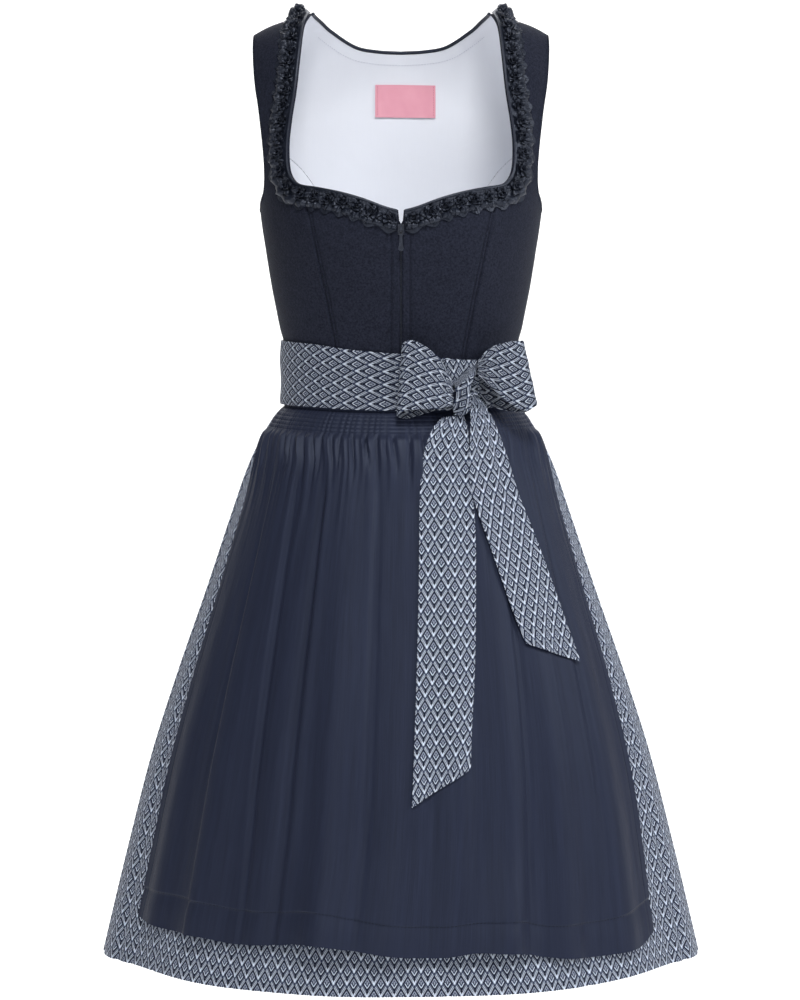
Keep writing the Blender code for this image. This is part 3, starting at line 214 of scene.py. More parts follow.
def nearest(values, at):  # the place in a row of the value closest to this one
    return int(np.argmin(abs(values - at)))


def skirtRoundness(z):  # the superellipse's power, eased from the bodice's to the hem's
    return bodiceForm["roundness"] + (skirtForm["hemRoundness"] - bodiceForm["roundness"]) * ease(z, waistZ, hemZ)


def waistDrop(angle, z):  # a dip at centre front, by the cosine squared, eased out down the skirt
    return skirtForm["waistDrop"] * np.clip(np.cos(angle), 0, 1) ** 2 * ease(z, -0.56, -0.43)


def skirtBase(angle, z):  # superellipse rings that widen from the waist to the hem
    f = skirtForm
    halfWidth = curve(f["z"], f["halfWidth"], z + waistDrop(angle, z))
    spread = halfWidth - f["halfWidth"][0]
    depth = np.where(np.cos(angle) >= 0, bodiceForm["front"][-1] + f["frontSpread"] * spread,
                     bodiceForm["back"][-1] + f["backSpread"] * spread)
    x, y = ringPoint(angle, halfWidth, depth, skirtRoundness(z))
    return stack(x, y, z)


def pushedOut(points, out):  # moved level, away from the axis
    return points + unit(points * np.array([1, 1, 0])) * np.asarray(out)[..., None]


def foldOut(folds, place, z, endZ):  # a cosine bell across each fold, growing from its top to the hem
    out = np.zeros(np.broadcast(place, z).shape)
    for centre, halfWidth, depth, topZ in folds:
        across = np.clip((place - centre) / halfWidth, -1, 1)
        out = out + depth * np.cos(across * pi / 2) ** 2 * ease(z, topZ, endZ)
    return out


def skirtPoint(angle, z, out=0.0):  # the base, pushed out by its folds
    turned = np.degrees(angle)
    turned = np.where(turned > 270, turned - 360, turned)
    return pushedOut(skirtBase(angle, z), foldOut(skirtFolds, turned, z, hemZ) + out)


def skirtAngle(x, z):  # the base's superellipse solved for the angle at which it lies at x
    share = np.clip(np.abs(x) / curve(skirtForm["z"], skirtForm["halfWidth"], z), 0, 1) ** (skirtRoundness(z) / 2)
    return np.sign(x) * np.arcsin(share)


def apronSides(z):  # the angles of its left and right edges
    return [np.radians(curve(apronForm["z"], apronForm[side], z)) for side in ("left", "right")]


def apronClear(z):  # its distance from the skirt, eased up below the waist
    f = apronForm
    return f["clearWaist"] + (f["clearHem"] - f["clearWaist"]) * ease(z, -0.42, -0.60)


def apronRise(place, level):  # the hem's uneven line, fading out up the apron
    h = apronHem
    foldZ = apronForm["hemZ"] + h["foldHigh"]
    fold, edge = (curve(h["place"], h[line], place) for line in ("fold", "edge"))
    low = np.clip((foldZ - level) / h["foldHigh"], 0, 1)
    return (fold + (edge - fold) * low) * ease(level, h["from"], foldZ)


def apronFront(angle, z, out=0.0):  # just in front of the apron, at its gathers' full height
    f = apronForm
    left, right = apronSides(z)
    place = (angle - left) / (right - left)
    lift = apronClear(z) + f["solidWall"] + f["gatherDepth"] * ease(z, f["gatherEnd"], f["gatherFull"])
    return skirtPoint(angle, z, lift + foldOut(apronFolds, place, z, f["hemZ"]) + out)


def tiePoint(angle, z, out=0.0):  # one superellipse ring at every height
    depth = np.where(np.cos(angle) >= 0, tieForm["front"], tieForm["back"])
    x, y = ringPoint(angle, tieForm["halfWidth"], depth, bodiceForm["roundness"])
    return pushedOut(stack(x, y, z), out + 0 * x)


def through(points, perSpan=8):  # Catmull-Rom curve through points, as many short steps
    p = np.array(points, float)
    p = np.concatenate([2 * p[:1] - p[1:2], p, 2 * p[-1:] - p[-2:-1]])
    t = np.linspace(0, 1, perSpan, endpoint=False)[:, None]
    spans = [0.5 * (2 * b + (c - a) * t + (2 * a - 5 * b + 4 * c - d) * t**2 + (3 * b - a - 3 * c + d) * t**3)
             for a, b, c, d in zip(p, p[1:], p[2:], p[3:])]
    return np.concatenate(spans + [p[-2:-1]])


def lengths(points):  # the distance walked to each point of a line
    return np.concatenate([[0], np.cumsum(np.linalg.norm(np.diff(points, axis=0), axis=1))])


def along(points, at, reach=None):  # points of a line at given distances
    reach = lengths(points) if reach is None else reach
    return np.stack([np.interp(at, reach, points[:, k]) for k in range(points.shape[1])], -1)


def bodiceEdge(points, steps, back=False):  # an edge in (x, z), walked evenly on the bodice, as (angle, z)
    line = np.array(points, float)
    line = through(points, 24) if len(points) > 2 else along(line, np.linspace(0, lengths(line)[-1], 60))
    angle = bodiceAngle(line[:, 0], line[:, 1], back)
    reach = lengths(bodicePoint(angle, line[:, 1]))
    return along(np.stack([angle, line[:, 1]], -1), np.linspace(0, reach[-1], steps + 1), reach)


def joined(*edges):  # end to end, with each shared point kept once
    return np.concatenate([edges[0]] + [edge[1:] for edge in edges[1:]])


def bothSides(edge):  # an edge that ends at centre back, carried on to the other side
    return joined(edge, np.stack([2 * pi - edge[::-1, 0], edge[::-1, 1]], -1))


def patch(foot, top, left, right):  # a Coons patch: rows run up from the foot, columns from left to right
    u, v = np.linspace(0, 1, len(foot))[None, :, None], np.linspace(0, 1, len(left))[:, None, None]
    ruled = (1 - v) * foot[None] + v * top[None] + (1 - u) * left[:, None] + u * right[:, None]
    grid = ruled - ((1 - u) * (1 - v) * foot[0] + u * (1 - v) * foot[-1] + (1 - u) * v * top[0] + u * v * top[-1])
    return grid[..., 0], grid[..., 1]


def seamColumns(angle, z, fine, count):
    # each row's columns moved so that those next to its two ends keep fixed distances from them
    rows = []
    for rowAngle, rowZ in zip(angle, z):
        reach = lengths(bodicePoint(rowAngle, rowZ))
        near = np.array(fine) * min(1, reach[-1] / (3 * fine[-1]))
        middle = np.linspace(near[-1], reach[-1] - near[-1], count)[1:-1]
        at = np.concatenate([near, middle, reach[-1] - near[::-1]])
        rows.append([np.interp(at, reach, rowAngle), np.interp(at, reach, rowZ), at, reach[-1] - at])
    return np.array(rows).transpose(1, 0, 2)


def gridNormals(points):  # columns run left to right seen from outside, rows run up
    return unit(np.cross(np.gradient(points, axis=1), np.gradient(points, axis=0)))


def metricUv(points):  # metres across from the middle column, metres up the middle column
    across = np.linalg.norm(np.diff(points, axis=1), axis=-1)
    u = np.concatenate([np.zeros((len(points), 1)), np.cumsum(across, axis=1)], 1)
    middle = points.shape[1] // 2
    return np.stack([u - u[:, middle:middle + 1], lengths(points[:, middle])[:, None] + 0 * u], -1)


def columnUv(u, points):  # given metres across, and metres up each column
    up = np.linalg.norm(np.diff(points, axis=0), axis=-1)
    return np.stack([u + 0 * points[..., 0], np.concatenate([0 * points[:1, :, 0], np.cumsum(up, axis=0)])], -1)


def wander(place, seed):  # a slow wave between -1 and 1, uneven but the same each run
    return (np.sin(place * 6.1 + seed * 1.7) + np.sin(place * 13.7 + seed * 3.1) * 0.6
            + np.sin(place * 29.3 + seed * 5.3) * 0.35) / 1.95


def creaseOut(table, u, v):
    # soft troughs (height below 0) and ridges: a bell across each line (u0, v0)-(u1, v1), faded to its ends
    out = np.zeros(np.broadcast(u, v).shape)
    for u0, v0, u1, v1, width, height in table:
        du, dv = u1 - u0, v1 - v0
        t = ((u - u0) * du + (v - v0) * dv) / (du * du + dv * dv)
        across = ((u - u0) * dv - (v - v0) * du) / math.hypot(du, dv)
        out = out + height * bell(across, 0, width) * ease(t, 0, 0.3) * ease(t, 1, 0.55)
    return out


def gridQuads(index):  # each face of a grid, from its lower left corner round
    return np.stack([index[:-1, :-1], index[:-1, 1:], index[1:, 1:], index[1:, :-1]], -1).reshape(-1, 4)


def tubeQuads(low, high):  # rows of vertices that close round on themselves
    return np.stack([low, np.roll(low, -1, 1), np.roll(high, -1, 1), high], -1).reshape(-1, 4)


def bothFaces(outer, inner):  # the points or uv of an outer grid, then those of the inner one, as one list
    return np.concatenate([outer.reshape(-1, outer.shape[-1]), inner.reshape(-1, inner.shape[-1])])


def linked(name, data):  # a new object in the scene
    made = bpy.data.objects.new(name, data)
    bpy.context.scene.collection.objects.link(made)
    return made


def putMesh(name, points, faces, uv, materials, faceSlots=None, sharp=50):
    mesh = bpy.data.meshes.new(name)
    mesh.from_pydata(points.reshape(-1, 3).tolist(), [], faces if isinstance(faces, list) else faces.tolist())
    layer = mesh.uv_layers.new(name="UVMap")
    corner = np.zeros(len(mesh.loops), np.int32)
    mesh.loops.foreach_get("vertex_index", corner)
    layer.data.foreach_set("uv", uv.reshape(-1, 2)[corner].astype(np.float32).ravel())
    for material in materials:
        mesh.materials.append(material)
    if faceSlots is not None:
        mesh.polygons.foreach_set("material_index", faceSlots.astype(np.int32))
    mesh.shade_smooth()
    mesh.set_sharp_from_angle(angle=math.radians(sharp))
    mesh.update()
    made = linked(name, mesh)
    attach(made, body)
    return made


def wallQuads(rows, cols):  # outer grid, inner grid turned round, and the four rims
    out = np.arange(rows * cols).reshape(rows, cols)
    into = out + rows * cols
    face = gridQuads(out)
    rims = np.concatenate([
        np.stack([out[0, 1:], out[0, :-1], into[0, :-1], into[0, 1:]], -1),
        np.stack([out[-1, :-1], out[-1, 1:], into[-1, 1:], into[-1, :-1]], -1),
        np.stack([out[:-1, 0], out[1:, 0], into[1:, 0], into[:-1, 0]], -1),
        np.stack([out[1:, -1], out[:-1, -1], into[:-1, -1], into[1:, -1]], -1)])
    slots = np.concatenate([np.zeros(len(face)), np.ones(len(face)), np.zeros(len(rims))])
    return np.concatenate([face, face[:, ::-1] + rows * cols, rims]), slots


def cloth(name, outer, wall, uv, materials, normals=None):
    # a closed wall: the outer grid, and the same grid set in by the wall along its normals
    normals = gridNormals(outer) if normals is None else normals
    quads, slots = wallQuads(*outer.shape[:2])
    made = putMesh(name + "_cloth", bothFaces(outer, outer - normals * wall), quads, bothFaces(uv, uv), materials,
                   slots if len(materials) > 1 else None)
    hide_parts(name)
    return made


def mirrored(grid):  # on the other side of x = 0, its columns turned round
    return grid[:, ::-1] * np.array([-1, 1, 1])


def copies(name, points, quads, uv, materials, sharp):
    # many small pieces in one mesh: points is (pieces, points of one, 3), quads those of one piece
    count, size = points.shape[:2]
    every = (quads[None] + (np.arange(count) * size)[:, None, None]).reshape(-1, 4)
    return putMesh(name, points, every, uv, materials, None, sharp)


def stitches(name, path, lift, material, slot, stitch=0.0023, pitch=0.0031, radius=0.00024):
    # short threads laid end to end along a line: each a five-sided rod with drawn-in ends
    reach = lengths(path)
    starts = np.arange(pitch / 2, reach[-1] - stitch, pitch)
    share = np.array([0, 0.12, 0.5, 0.88, 1])
    at = starts[:, None] + share * stitch
    place, up = along(path, at, reach), unit(along(lift, at, reach))
    forward = unit(along(path, at + 0.0003, reach) - along(path, at - 0.0003, reach))
    side = np.cross(forward, up)
    thick = radius * np.array([0.4, 1, 1.05, 1, 0.4])[:, None, None]
    turn = np.linspace(0, 2 * pi, 5, endpoint=False)[:, None]
    ring = (side[:, :, None] * np.cos(turn) + up[:, :, None] * np.sin(turn)) * thick
    rise = (radius * np.array([-0.6, 0.3, 0.6, 0.3, -0.6]))[:, None]
    points = ((place + up * rise)[:, :, None] + ring).reshape(len(starts), 25, 3)
    index = np.arange(25).reshape(5, 5)
    quads = tubeQuads(index[:-1], index[1:])
    first = np.arange(len(starts))[:, None] * 25
    every = (quads[None] + first[:, None]).reshape(-1, 4).tolist()
    every += (first + [4, 3, 2, 1, 0]).tolist() + (first + [20, 21, 22, 23, 24]).tolist()
    uv = np.zeros((len(starts), 25, 2)) + np.repeat(share, 5)[None, :, None] * stitch
    return putMesh(name, points, every, uv, [material])


def rod(name, path, radius, lift, material, sides=10, closed=False):
    # an oval ring carried along a path: radius is (half width across, half height along lift)
    step = np.roll(path, -1, 0) - np.roll(path, 1, 0) if closed else np.gradient(path, axis=0)
    forward = unit(step)
    lift = unit(lift - (lift * forward).sum(-1, keepdims=True) * forward)
    side = np.cross(forward, lift)
    turn = np.linspace(0, 2 * pi, sides, endpoint=False)[None, :, None]
    rings = path[:, None] + radius[0] * np.cos(turn) * side[:, None] + radius[1] * np.sin(turn) * lift[:, None]
    index = np.arange(len(path) * sides).reshape(len(path), sides)
    low, high = (index, np.roll(index, -1, 0)) if closed else (index[:-1], index[1:])
    faces = tubeQuads(low, high).tolist()
    if not closed:
        faces += [index[0, ::-1].tolist(), index[-1].tolist()]
    around = np.linspace(0, 2 * pi * radius[0], sides)
    uv = np.stack(np.broadcast_arrays(lengths(path)[:, None], around[None]), -1)
    return putMesh(name, rings, faces, uv, [material], sharp=70)


class Level:  # a number that varies over a surface: arithmetic on it adds Math nodes
    def __init__(self, finish, socket):
        self.finish, self.socket = finish, socket

    def math(self, operation, *values):
        return self.finish.add("Math", dict(enumerate(values)), operation=operation)

    def __add__(self, other):
        return self.math("ADD", self, other)

    def __mul__(self, other):
        return self.math("MULTIPLY", self, other)

    def __sub__(self, other):
        return self.math("SUBTRACT", self, other)

    def __rsub__(self, other):
        return self.math("SUBTRACT", other, self)

    __radd__, __rmul__ = __add__, __mul__

    def __truediv__(self, other):
        return self.math("DIVIDE", self, other)

    def __abs__(self):
        return self.math("ABSOLUTE", self)

    def floor(self):
        return self.math("FLOOR", self)

    def wave(self, pitch):  # 0 to 1 and back every pitch
        return self.math("SINE", self * (2 * pi / pitch)) * 0.5 + 0.5

    def above(self, edge, soft):  # 0 below the edge, 1 above it, over a soft step
        return self.finish.add("MapRange", {"Value": self - edge, "From Min": -soft, "From Max": soft},
                               interpolation_type="SMOOTHSTEP")

    def within(self, centre, half, soft):  # 1 on a band round the centre
        return 1 - abs(self - centre).above(half, soft)

    def most(self, other):
        return self.math("MAXIMUM", self, other)


class Finish:  # one material, with any node added by one method
    def __init__(self, name, colour, sockets):
        self.material = bpy.data.materials.new(name)
        self.material.use_nodes = True
        self.tree = self.material.node_tree
        self.shader = self.tree.nodes["Principled BSDF"]
        self.fill(self.shader, {"Base Color": shade(*colour), **sockets})
        self.material.diffuse_color = shade(*colour)

    def fill(self, node, sockets):
        for key, value in sockets.items():
            if isinstance(value, Level):
                self.tree.links.new(value.socket, node.inputs[key])
            else:
                node.inputs[key].default_value = value

    def add(self, kind, sockets=None, out=0, stops=None, **settings):
        node = self.tree.nodes.new("ShaderNode" + kind)
        for key, value in settings.items():
            setattr(node, key, value)
        for place, (position, colour) in enumerate(stops or []):
            ramp = node.color_ramp.elements
            stop = ramp[place] if place < len(ramp) else ramp.new(position)
            stop.position, stop.color = position, colour
        self.fill(node, sockets or {})
        return Level(self, node.outputs[out])

    def mix(self, share, first, second):  # colours
        return self.add("Mix", {0: share, 6: first, 7: second}, 2, data_type="RGBA")

    def cloth(self):  # metres across and up the cloth
        place = self.add("UVMap", uv_map="UVMap")
        return self.add("SeparateXYZ", {0: place}, "X"), self.add("SeparateXYZ", {0: place}, "Y")

    def space(self):  # metres in space, so that a tone runs on from piece to piece
        return self.add("TexCoord", out="Object")

    def noise(self, place, scale, detail=3.0, roughness=0.5):
        return self.add("TexNoise", {"Vector": place, "Scale": scale, "Detail": detail, "Roughness": roughness})

    def stretched(self, u, v, across, up):  # noise drawn out along the cloth
        place = self.add("CombineXYZ", {"X": u / across, "Y": v / up})
        return self.noise(place, 1.0, 2.0)

    def bump(self, height, distance):  # distance in metres
        return self.add("Bump", {"Height": height, "Distance": distance, "Strength": 1.0})

    def surface(self, look, tone, roughness, height=None):  # between the look's dark and light by the tone
        sockets = {"Base Color": self.mix(tone, shade(*look["dark"]), shade(*look["light"])), "Roughness": roughness}
        if height is not None:
            sockets["Normal"] = self.bump(height, look["relief"])
        self.fill(self.shader, sockets)
        return self.material

    def stroke(self, place, line, half, soft):  # 1 on a short straight line (x0, y0)-(x1, y1), 0 away from it
        x0, y0, x1, y1 = line
        dx, dy = x1 - x0, y1 - y0
        square = dx * dx + dy * dy
        share = self.add("VectorMath", {0: place, 1: (dx / square, dy / square, 0)}, 1, operation="DOT_PRODUCT")
        share = self.add("Math", {0: share, 1: (x0 * dx + y0 * dy) / square}, operation="SUBTRACT", use_clamp=True)
        nearest = self.add("VectorMath", {0: (dx, dy, 0), 1: share, 2: (x0, y0, 0)}, operation="MULTIPLY_ADD")
        return 1 - self.add("VectorMath", {0: place, 1: nearest}, 1, operation="DISTANCE").above(half, soft)

    def strokes(self, place, table, soft):  # the brightest of several, each at its own level
        most = None
        for level, half, *line in table:
            one = self.stroke(place, line, half, soft) * level
            most = one if most is None else most.most(one)
        return most


def shade(red, green, blue):  # an opaque colour
    return (red, green, blue, 1.0)


woolLook = {"colour": (0.0120, 0.0140, 0.0245), "dark": (0.0055, 0.0066, 0.0130), "light": (0.0205, 0.0235, 0.0400),
            "twill": 0.0009, "melange": 460.0, "melangeSpread": 3.6, "relief": 0.00012}


def woolFinish():  # a fine worsted twill with a little melange
    k = woolLook
    f = Finish("navy wool", k["colour"], {
        "Sheen Weight": 0.01, "Sheen Roughness": 0.45, "Sheen Tint": shade(0.55, 0.62, 0.85),
        "Specular IOR Level": 0.16, "Specular Tint": shade(0.75, 0.82, 1.0)})
    u, v = f.cloth()
    twill, pick = (u + v * 0.9).wave(k["twill"]), (v - u * 0.25).wave(k["twill"] * 0.62)
    place = f.space()
    melange, drift = f.noise(place, k["melange"], 4.0, 0.8), f.noise(place, 9.0, 3.0)
    tone = (melange - 0.5) * k["melangeSpread"] + (drift - 0.5) * 0.5 + twill * 0.25 + 0.35
    return f.surface(k, tone, 0.68 + melange * 0.14, twill * 0.6 + pick * 0.3 + melange * 0.5)


liningLook = {"colour": (0.80, 0.82, 0.885), "dark": (0.765, 0.79, 0.86), "light": (0.84, 0.86, 0.915),
              "thread": 0.00042, "streak": (0.0013, 0.035), "relief": 0.00006}


def liningFinish():  # a smooth plain-woven lining with faint streaks
    k = liningLook
    f = Finish("pale lining", k["colour"], {"Sheen Weight": 0.04, "Sheen Roughness": 0.4, "Specular IOR Level": 0.40})
    u, v = f.cloth()
    streak, drift = f.stretched(u, v, *k["streak"]), f.noise(f.space(), 7.0, 2.0)
    weave = u.wave(k["thread"]) * v.wave(k["thread"])
    return f.surface(k, streak * 0.35 + drift * 0.5 + 0.1, 0.42 + streak * 0.12, weave * 0.4 + streak * 0.5)


labelLook = {"colour": (0.84, 0.36, 0.45), "dark": (0.80, 0.32, 0.41), "light": (0.88, 0.41, 0.50),
             "pick": 0.00035, "end": 0.0005, "relief": 0.00008}


def labelFinish():  # a woven satin label, left bare
    k = labelLook
    f = Finish("pink label satin", k["colour"], {"Sheen Weight": 0.05})
    u, v = f.cloth()
    pick, end = v.wave(k["pick"]), u.wave(k["end"])
    return f.surface(k, f.noise(f.space(), 60.0, 2.0), 0.46 + pick * 0.1, pick * 0.7 + end * 0.3)


jacquardLook = {"across": 0.0131, "up": 0.0238, "cell": (13.1, 23.8), "soft": 0.26, "pick": 0.00055,
                "bright": (0.78, 0.86, 1.0), "middle": (0.021, 0.031, 0.067), "middleLight": (0.044, 0.060, 0.116),
                "ground": (0.0025, 0.0040, 0.0140), "relief": 0.00016}
# One cell of the pattern in millimetres from its middle, right half: level, half width, x0, y0, x1, y1.
cellBright = [(0.40, 0.70, 0.0, 2.2, 0.0, 0.6), (0.80, 0.20, 0.2, 5.2, 1.9, 2.2), (1.0, 0.36, 2.6, 0.9, 0.25, -2.9),
              (0.88, 0.32, 5.0, -1.9, 1.2, -8.2), (1.0, 0.50, 1.2, -8.4, 0.0, -11.2), (0.85, 0.26, 0.9, 8.6, 5.1, 1.7),
              (0.90, 0.42, 5.8, 1.2, 6.3, -0.6), (0.45, 0.16, 4.2, -1.0, 1.0, -6.3)]
cellDark = [(1.0, 0.50, 0.0, 8.0, 4.1, 2.0), (1.0, 0.50, 4.1, 1.6, 0.2, -4.9), (1.0, 0.75, 0.0, -5.2, 0.0, -8.2),
            (0.8, 0.35, 0.5, 1.4, 1.2, 0.5), (0.9, 0.22, 1.5, 9.3, 5.6, 2.3), (0.8, 0.26, 4.7, -1.5, 1.2, -7.2)]


def jacquardFinish(name, turned, reverse=False, paintedShadeScale=1.0):
    # Staggered diamonds: a bud in a V under a dark peak, and below it a dark slot between two strokes.
    k = jacquardLook
    f = Finish(name, k["middle"], {"Sheen Weight": 0.01, "Specular IOR Level": 0.16})
    u, v = f.cloth()
    s, t = (v, u) if turned else (u, v)
    fine = f.noise(f.add("CombineXYZ", {"X": u, "Y": v}), 1400.0, 1.0)
    s, t = s / k["across"] + (fine - 0.5) * 0.05, t / k["up"] + (fine - 0.5) * 0.03
    p, q = s + t, t - s
    p, q = p - (p + 0.5).floor(), q - (q + 0.5).floor()
    place = f.add("CombineXYZ", {"X": abs(p - q) * (k["cell"][0] / 2), "Y": (p + q) * (k["cell"][1] / 2)})
    bright, dark = f.strokes(place, cellBright, k["soft"]), f.strokes(place, cellDark, k["soft"])
    pick = (u if turned else v).wave(k["pick"])
    warp = (v if turned else u).wave(k["pick"] * 0.8)
    lit = bright * (0.80 + pick * 0.20 + (fine - 0.5) * 0.40)
    if reverse:
        lit, dark = 0.42 - lit * 0.36, dark * 0.2
    # the colours are scaled down for the darker copies: painted shade on the band, the loops, their insides and the
    # knot
    colours = [shade(*[c * paintedShadeScale for c in k[tone]]) for tone in ("ground", "middle", "middleLight", "bright")]
    middle = f.mix(warp * 0.35 + fine * 0.5, colours[1], colours[2])
    ground = f.mix(dark * (1 - bright * 0.8), middle, colours[0])
    height = bright * 0.8 - dark * 0.4 + pick * 0.35 + fine * 0.3
    f.fill(f.shader, {"Base Color": f.mix(lit, ground, colours[3]), "Roughness": 0.62 - bright * 0.12 + fine * 0.08,
                      "Normal": f.bump(height, k["relief"])})
    return f.material


satinLook = {"colour": (0.0180, 0.0218, 0.0410), "dark": (0.0125, 0.0148, 0.0270), "light": (0.0270, 0.0340, 0.0670),
             "streak": (0.0009, 0.05), "broadStreak": (0.006, 0.22), "warp": 0.0006, "relief": 0.00009}


def satinFinish():  # warp-faced satin: fine streaks running down, some bluer
    k = satinLook
    f = Finish("dark blue satin", k["colour"], {
        "Sheen Weight": 0.01, "Sheen Roughness": 0.35, "Sheen Tint": shade(0.6, 0.68, 0.95),
        "Specular IOR Level": 0.20, "Specular Tint": shade(0.70, 0.80, 1.0)})
    u, v = f.cloth()
    streak, broad = f.stretched(u, v, *k["streak"]), f.stretched(u, v, *k["broadStreak"])
    return f.surface(k, streak * 0.7 + broad * 0.5 - 0.15, 0.40 + streak * 0.12, streak * 0.7 + u.wave(k["warp"]) * 0.3)


ribbonLook = {"colour": (0.0060, 0.0080, 0.0150), "dark": (0.0028, 0.0038, 0.0080),
              "light": (0.0105, 0.0140, 0.0255), "relief": 0.00012}


def ribbonFinish():  # dark ribbon with a dull shine, its threads uneven
    k = ribbonLook
    f = Finish("navy ribbon", k["colour"], {"Sheen Weight": 0.02, "Sheen Tint": shade(0.5, 0.58, 0.8),
                                            "Specular IOR Level": 0.55, "Specular Tint": shade(0.75, 0.82, 1.0)})
    place = f.space()
    thread, drift = f.noise(place, 1500.0, 2.0), f.noise(place, 120.0, 2.0)
    return f.surface(k, thread * 0.6 + drift * 0.5 - 0.05, 0.34 + thread * 0.2, thread)


def threadFinish(name, colour, ply=0.00045):  # twisted sewing thread
    f = Finish(name, colour, {"Specular IOR Level": 0.12})
    u, v = f.cloth()
    twist = (u + v * 0.3).wave(ply)
    look = {"dark": [c * 0.75 for c in colour], "light": [c * 1.25 for c in colour]}
    return f.surface(look, twist, 0.6 + twist * 0.1)


metalLook = {"colour": (0.012, 0.017, 0.030), "dark": (0.010, 0.014, 0.026), "light": (0.05, 0.06, 0.09),
             "relief": 0.00003}


def metalFinish():  # blackened zinc, rubbed a little brighter
    k = metalLook
    f = Finish("dark zip metal", k["colour"], {"Specular IOR Level": 0.35})
    place = f.space()
    wear, grain = f.noise(place, 260.0, 4.0), f.noise(place, 2500.0, 2.0)
    return f.surface(k, wear.above(0.55, 0.15) * 0.35, 0.24 + grain * 0.10, grain)


wool, lining, pinkSatin = woolFinish(), liningFinish(), labelFinish()
# The turned, inside and knotted copies are darker: painted shade on the band and loops, inside the loops and on the
# knot.
jacquard, jacquardTurned = jacquardFinish("jacquard", False), jacquardFinish("jacquard turned", True, paintedShadeScale=0.78)
jacquardReverse = jacquardFinish("jacquard reverse", False, reverse=True)
jacquardPaintedShadeInside = jacquardFinish("jacquard turned inside", True, paintedShadeScale=0.46)
jacquardKnot = jacquardFinish("jacquard knotted", False, paintedShadeScale=0.80)
satin, ribbon, zipMetal = satinFinish(), ribbonFinish(), metalFinish()
navyThread = threadFinish("navy thread", (0.015, 0.018, 0.031))
paleThread = threadFinish("pale thread", (0.55, 0.57, 0.66))
print("materials made")

# Bodice: panels on the fitted form; distances from the seams give the sewn edges their relief.
bodiceDetail = {"near": [0.00015, 0.0006, 0.0012, 0.0019, 0.0028, 0.0034, 0.0039, 0.0044, 0.0050, 0.0062],
                "sunk": 0.0014, "stitchAt": 0.0039, "stitchSunk": 0.00075, "stitchOut": -0.0001,
                "zipStitchAt": 0.0090, "zipNear": [0.0084, 0.0090, 0.0096]}
# Soft drags in the cloth as (x0, z0, x1, z1, width, height), seen from the front; +X is one side.
frontCreases = [(0.120, -0.375, 0.085, -0.330, 0.006, -0.0007), (0.125, -0.362, 0.075, -0.352, 0.004, -0.0005),
                (-0.118, -0.372, -0.070, -0.345, 0.006, -0.0007), (-0.124, -0.350, -0.090, -0.322, 0.005, 0.0005),
                (0.138, -0.200, 0.108, -0.232, 0.008, -0.0008), (-0.137, -0.198, -0.112, -0.240, 0.008, -0.0007),
                (0.020, -0.372, 0.055, -0.357, 0.005, -0.0005), (-0.012, -0.368, -0.050, -0.352, 0.005, -0.0005),
                (0.128, -0.120, 0.122, -0.060, 0.007, -0.0006), (-0.129, -0.125, -0.122, -0.055, 0.007, -0.0006)]
backCreases = [(0.110, -0.370, 0.060, -0.335, 0.007, -0.0009), (-0.105, -0.372, -0.055, -0.342, 0.006, -0.0008),
               (0.120, -0.345, 0.085, -0.315, 0.005, 0.0006), (-0.020, -0.362, 0.035, -0.350, 0.005, -0.0007),
               (0.128, -0.190, 0.095, -0.215, 0.008, -0.0008), (-0.126, -0.185, -0.090, -0.220, 0.007, -0.0008),
               (-0.040, -0.345, 0.010, -0.338, 0.004, -0.0004), (0.060, -0.090, 0.010, -0.075, 0.010, -0.0006)]


def seamRelief(distance, stitchAt=None):  # drawn in at the seam, a low roll beside it, a line under the topstitch
    d = bodiceDetail
    out = 0.00035 * bell(distance, 0.0022, 0.0011) - d["sunk"] * bell(distance, 0, 0.0013)
    return out - (d["stitchSunk"] * bell(distance, stitchAt, 0.0007) if stitchAt else 0)


def panelPair(name, grid, relief, out, wall, materials, back=False):
    # a piece at +X and its mirror at -X, each with its own small creases; returns both
    z = grid[1]
    face, normal = onBodice(grid[0], z)
    uv = metricUv(face)
    made = []
    for side, ending in twoSides:
        creases = creaseOut(backCreases if back else frontCreases, side * face[..., 0], z) if out == 0 else 0
        outer = face + normal * (out + relief + creases)[..., None] + seamShift(back)
        if side == 1:
            made.append(cloth(name + ending, outer, wall, uv, materials, normal))
        else:
            made.append(cloth(name + ending, mirrored(outer), wall, uv[:, ::-1] * np.array([-1, 1]), materials,
                              mirrored(normal)))
    return made


def stitchRow(name, angle, z, out, material, slot, back=False, mirrorToo=True, **sizes):
    # a row of stitches on the bodice, along a line of (angle, z), and its mirror
    face, normal = onBodice(angle, z)
    path = face + normal * out + seamShift(back)
    made = [stitches(name + "_r", path, normal * np.sign(out + 1e-9), material, slot, **sizes)]
    if mirrorToo:
        flip = np.array([-1, 1, 1])
        made.append(stitches(name + "_l", path * flip, normal * flip * np.sign(out + 1e-9), material, slot, **sizes))
    return made


underarm = (float(curve(bodiceForm["z"], bodiceForm["halfWidth"], underarmZ)), underarmZ)


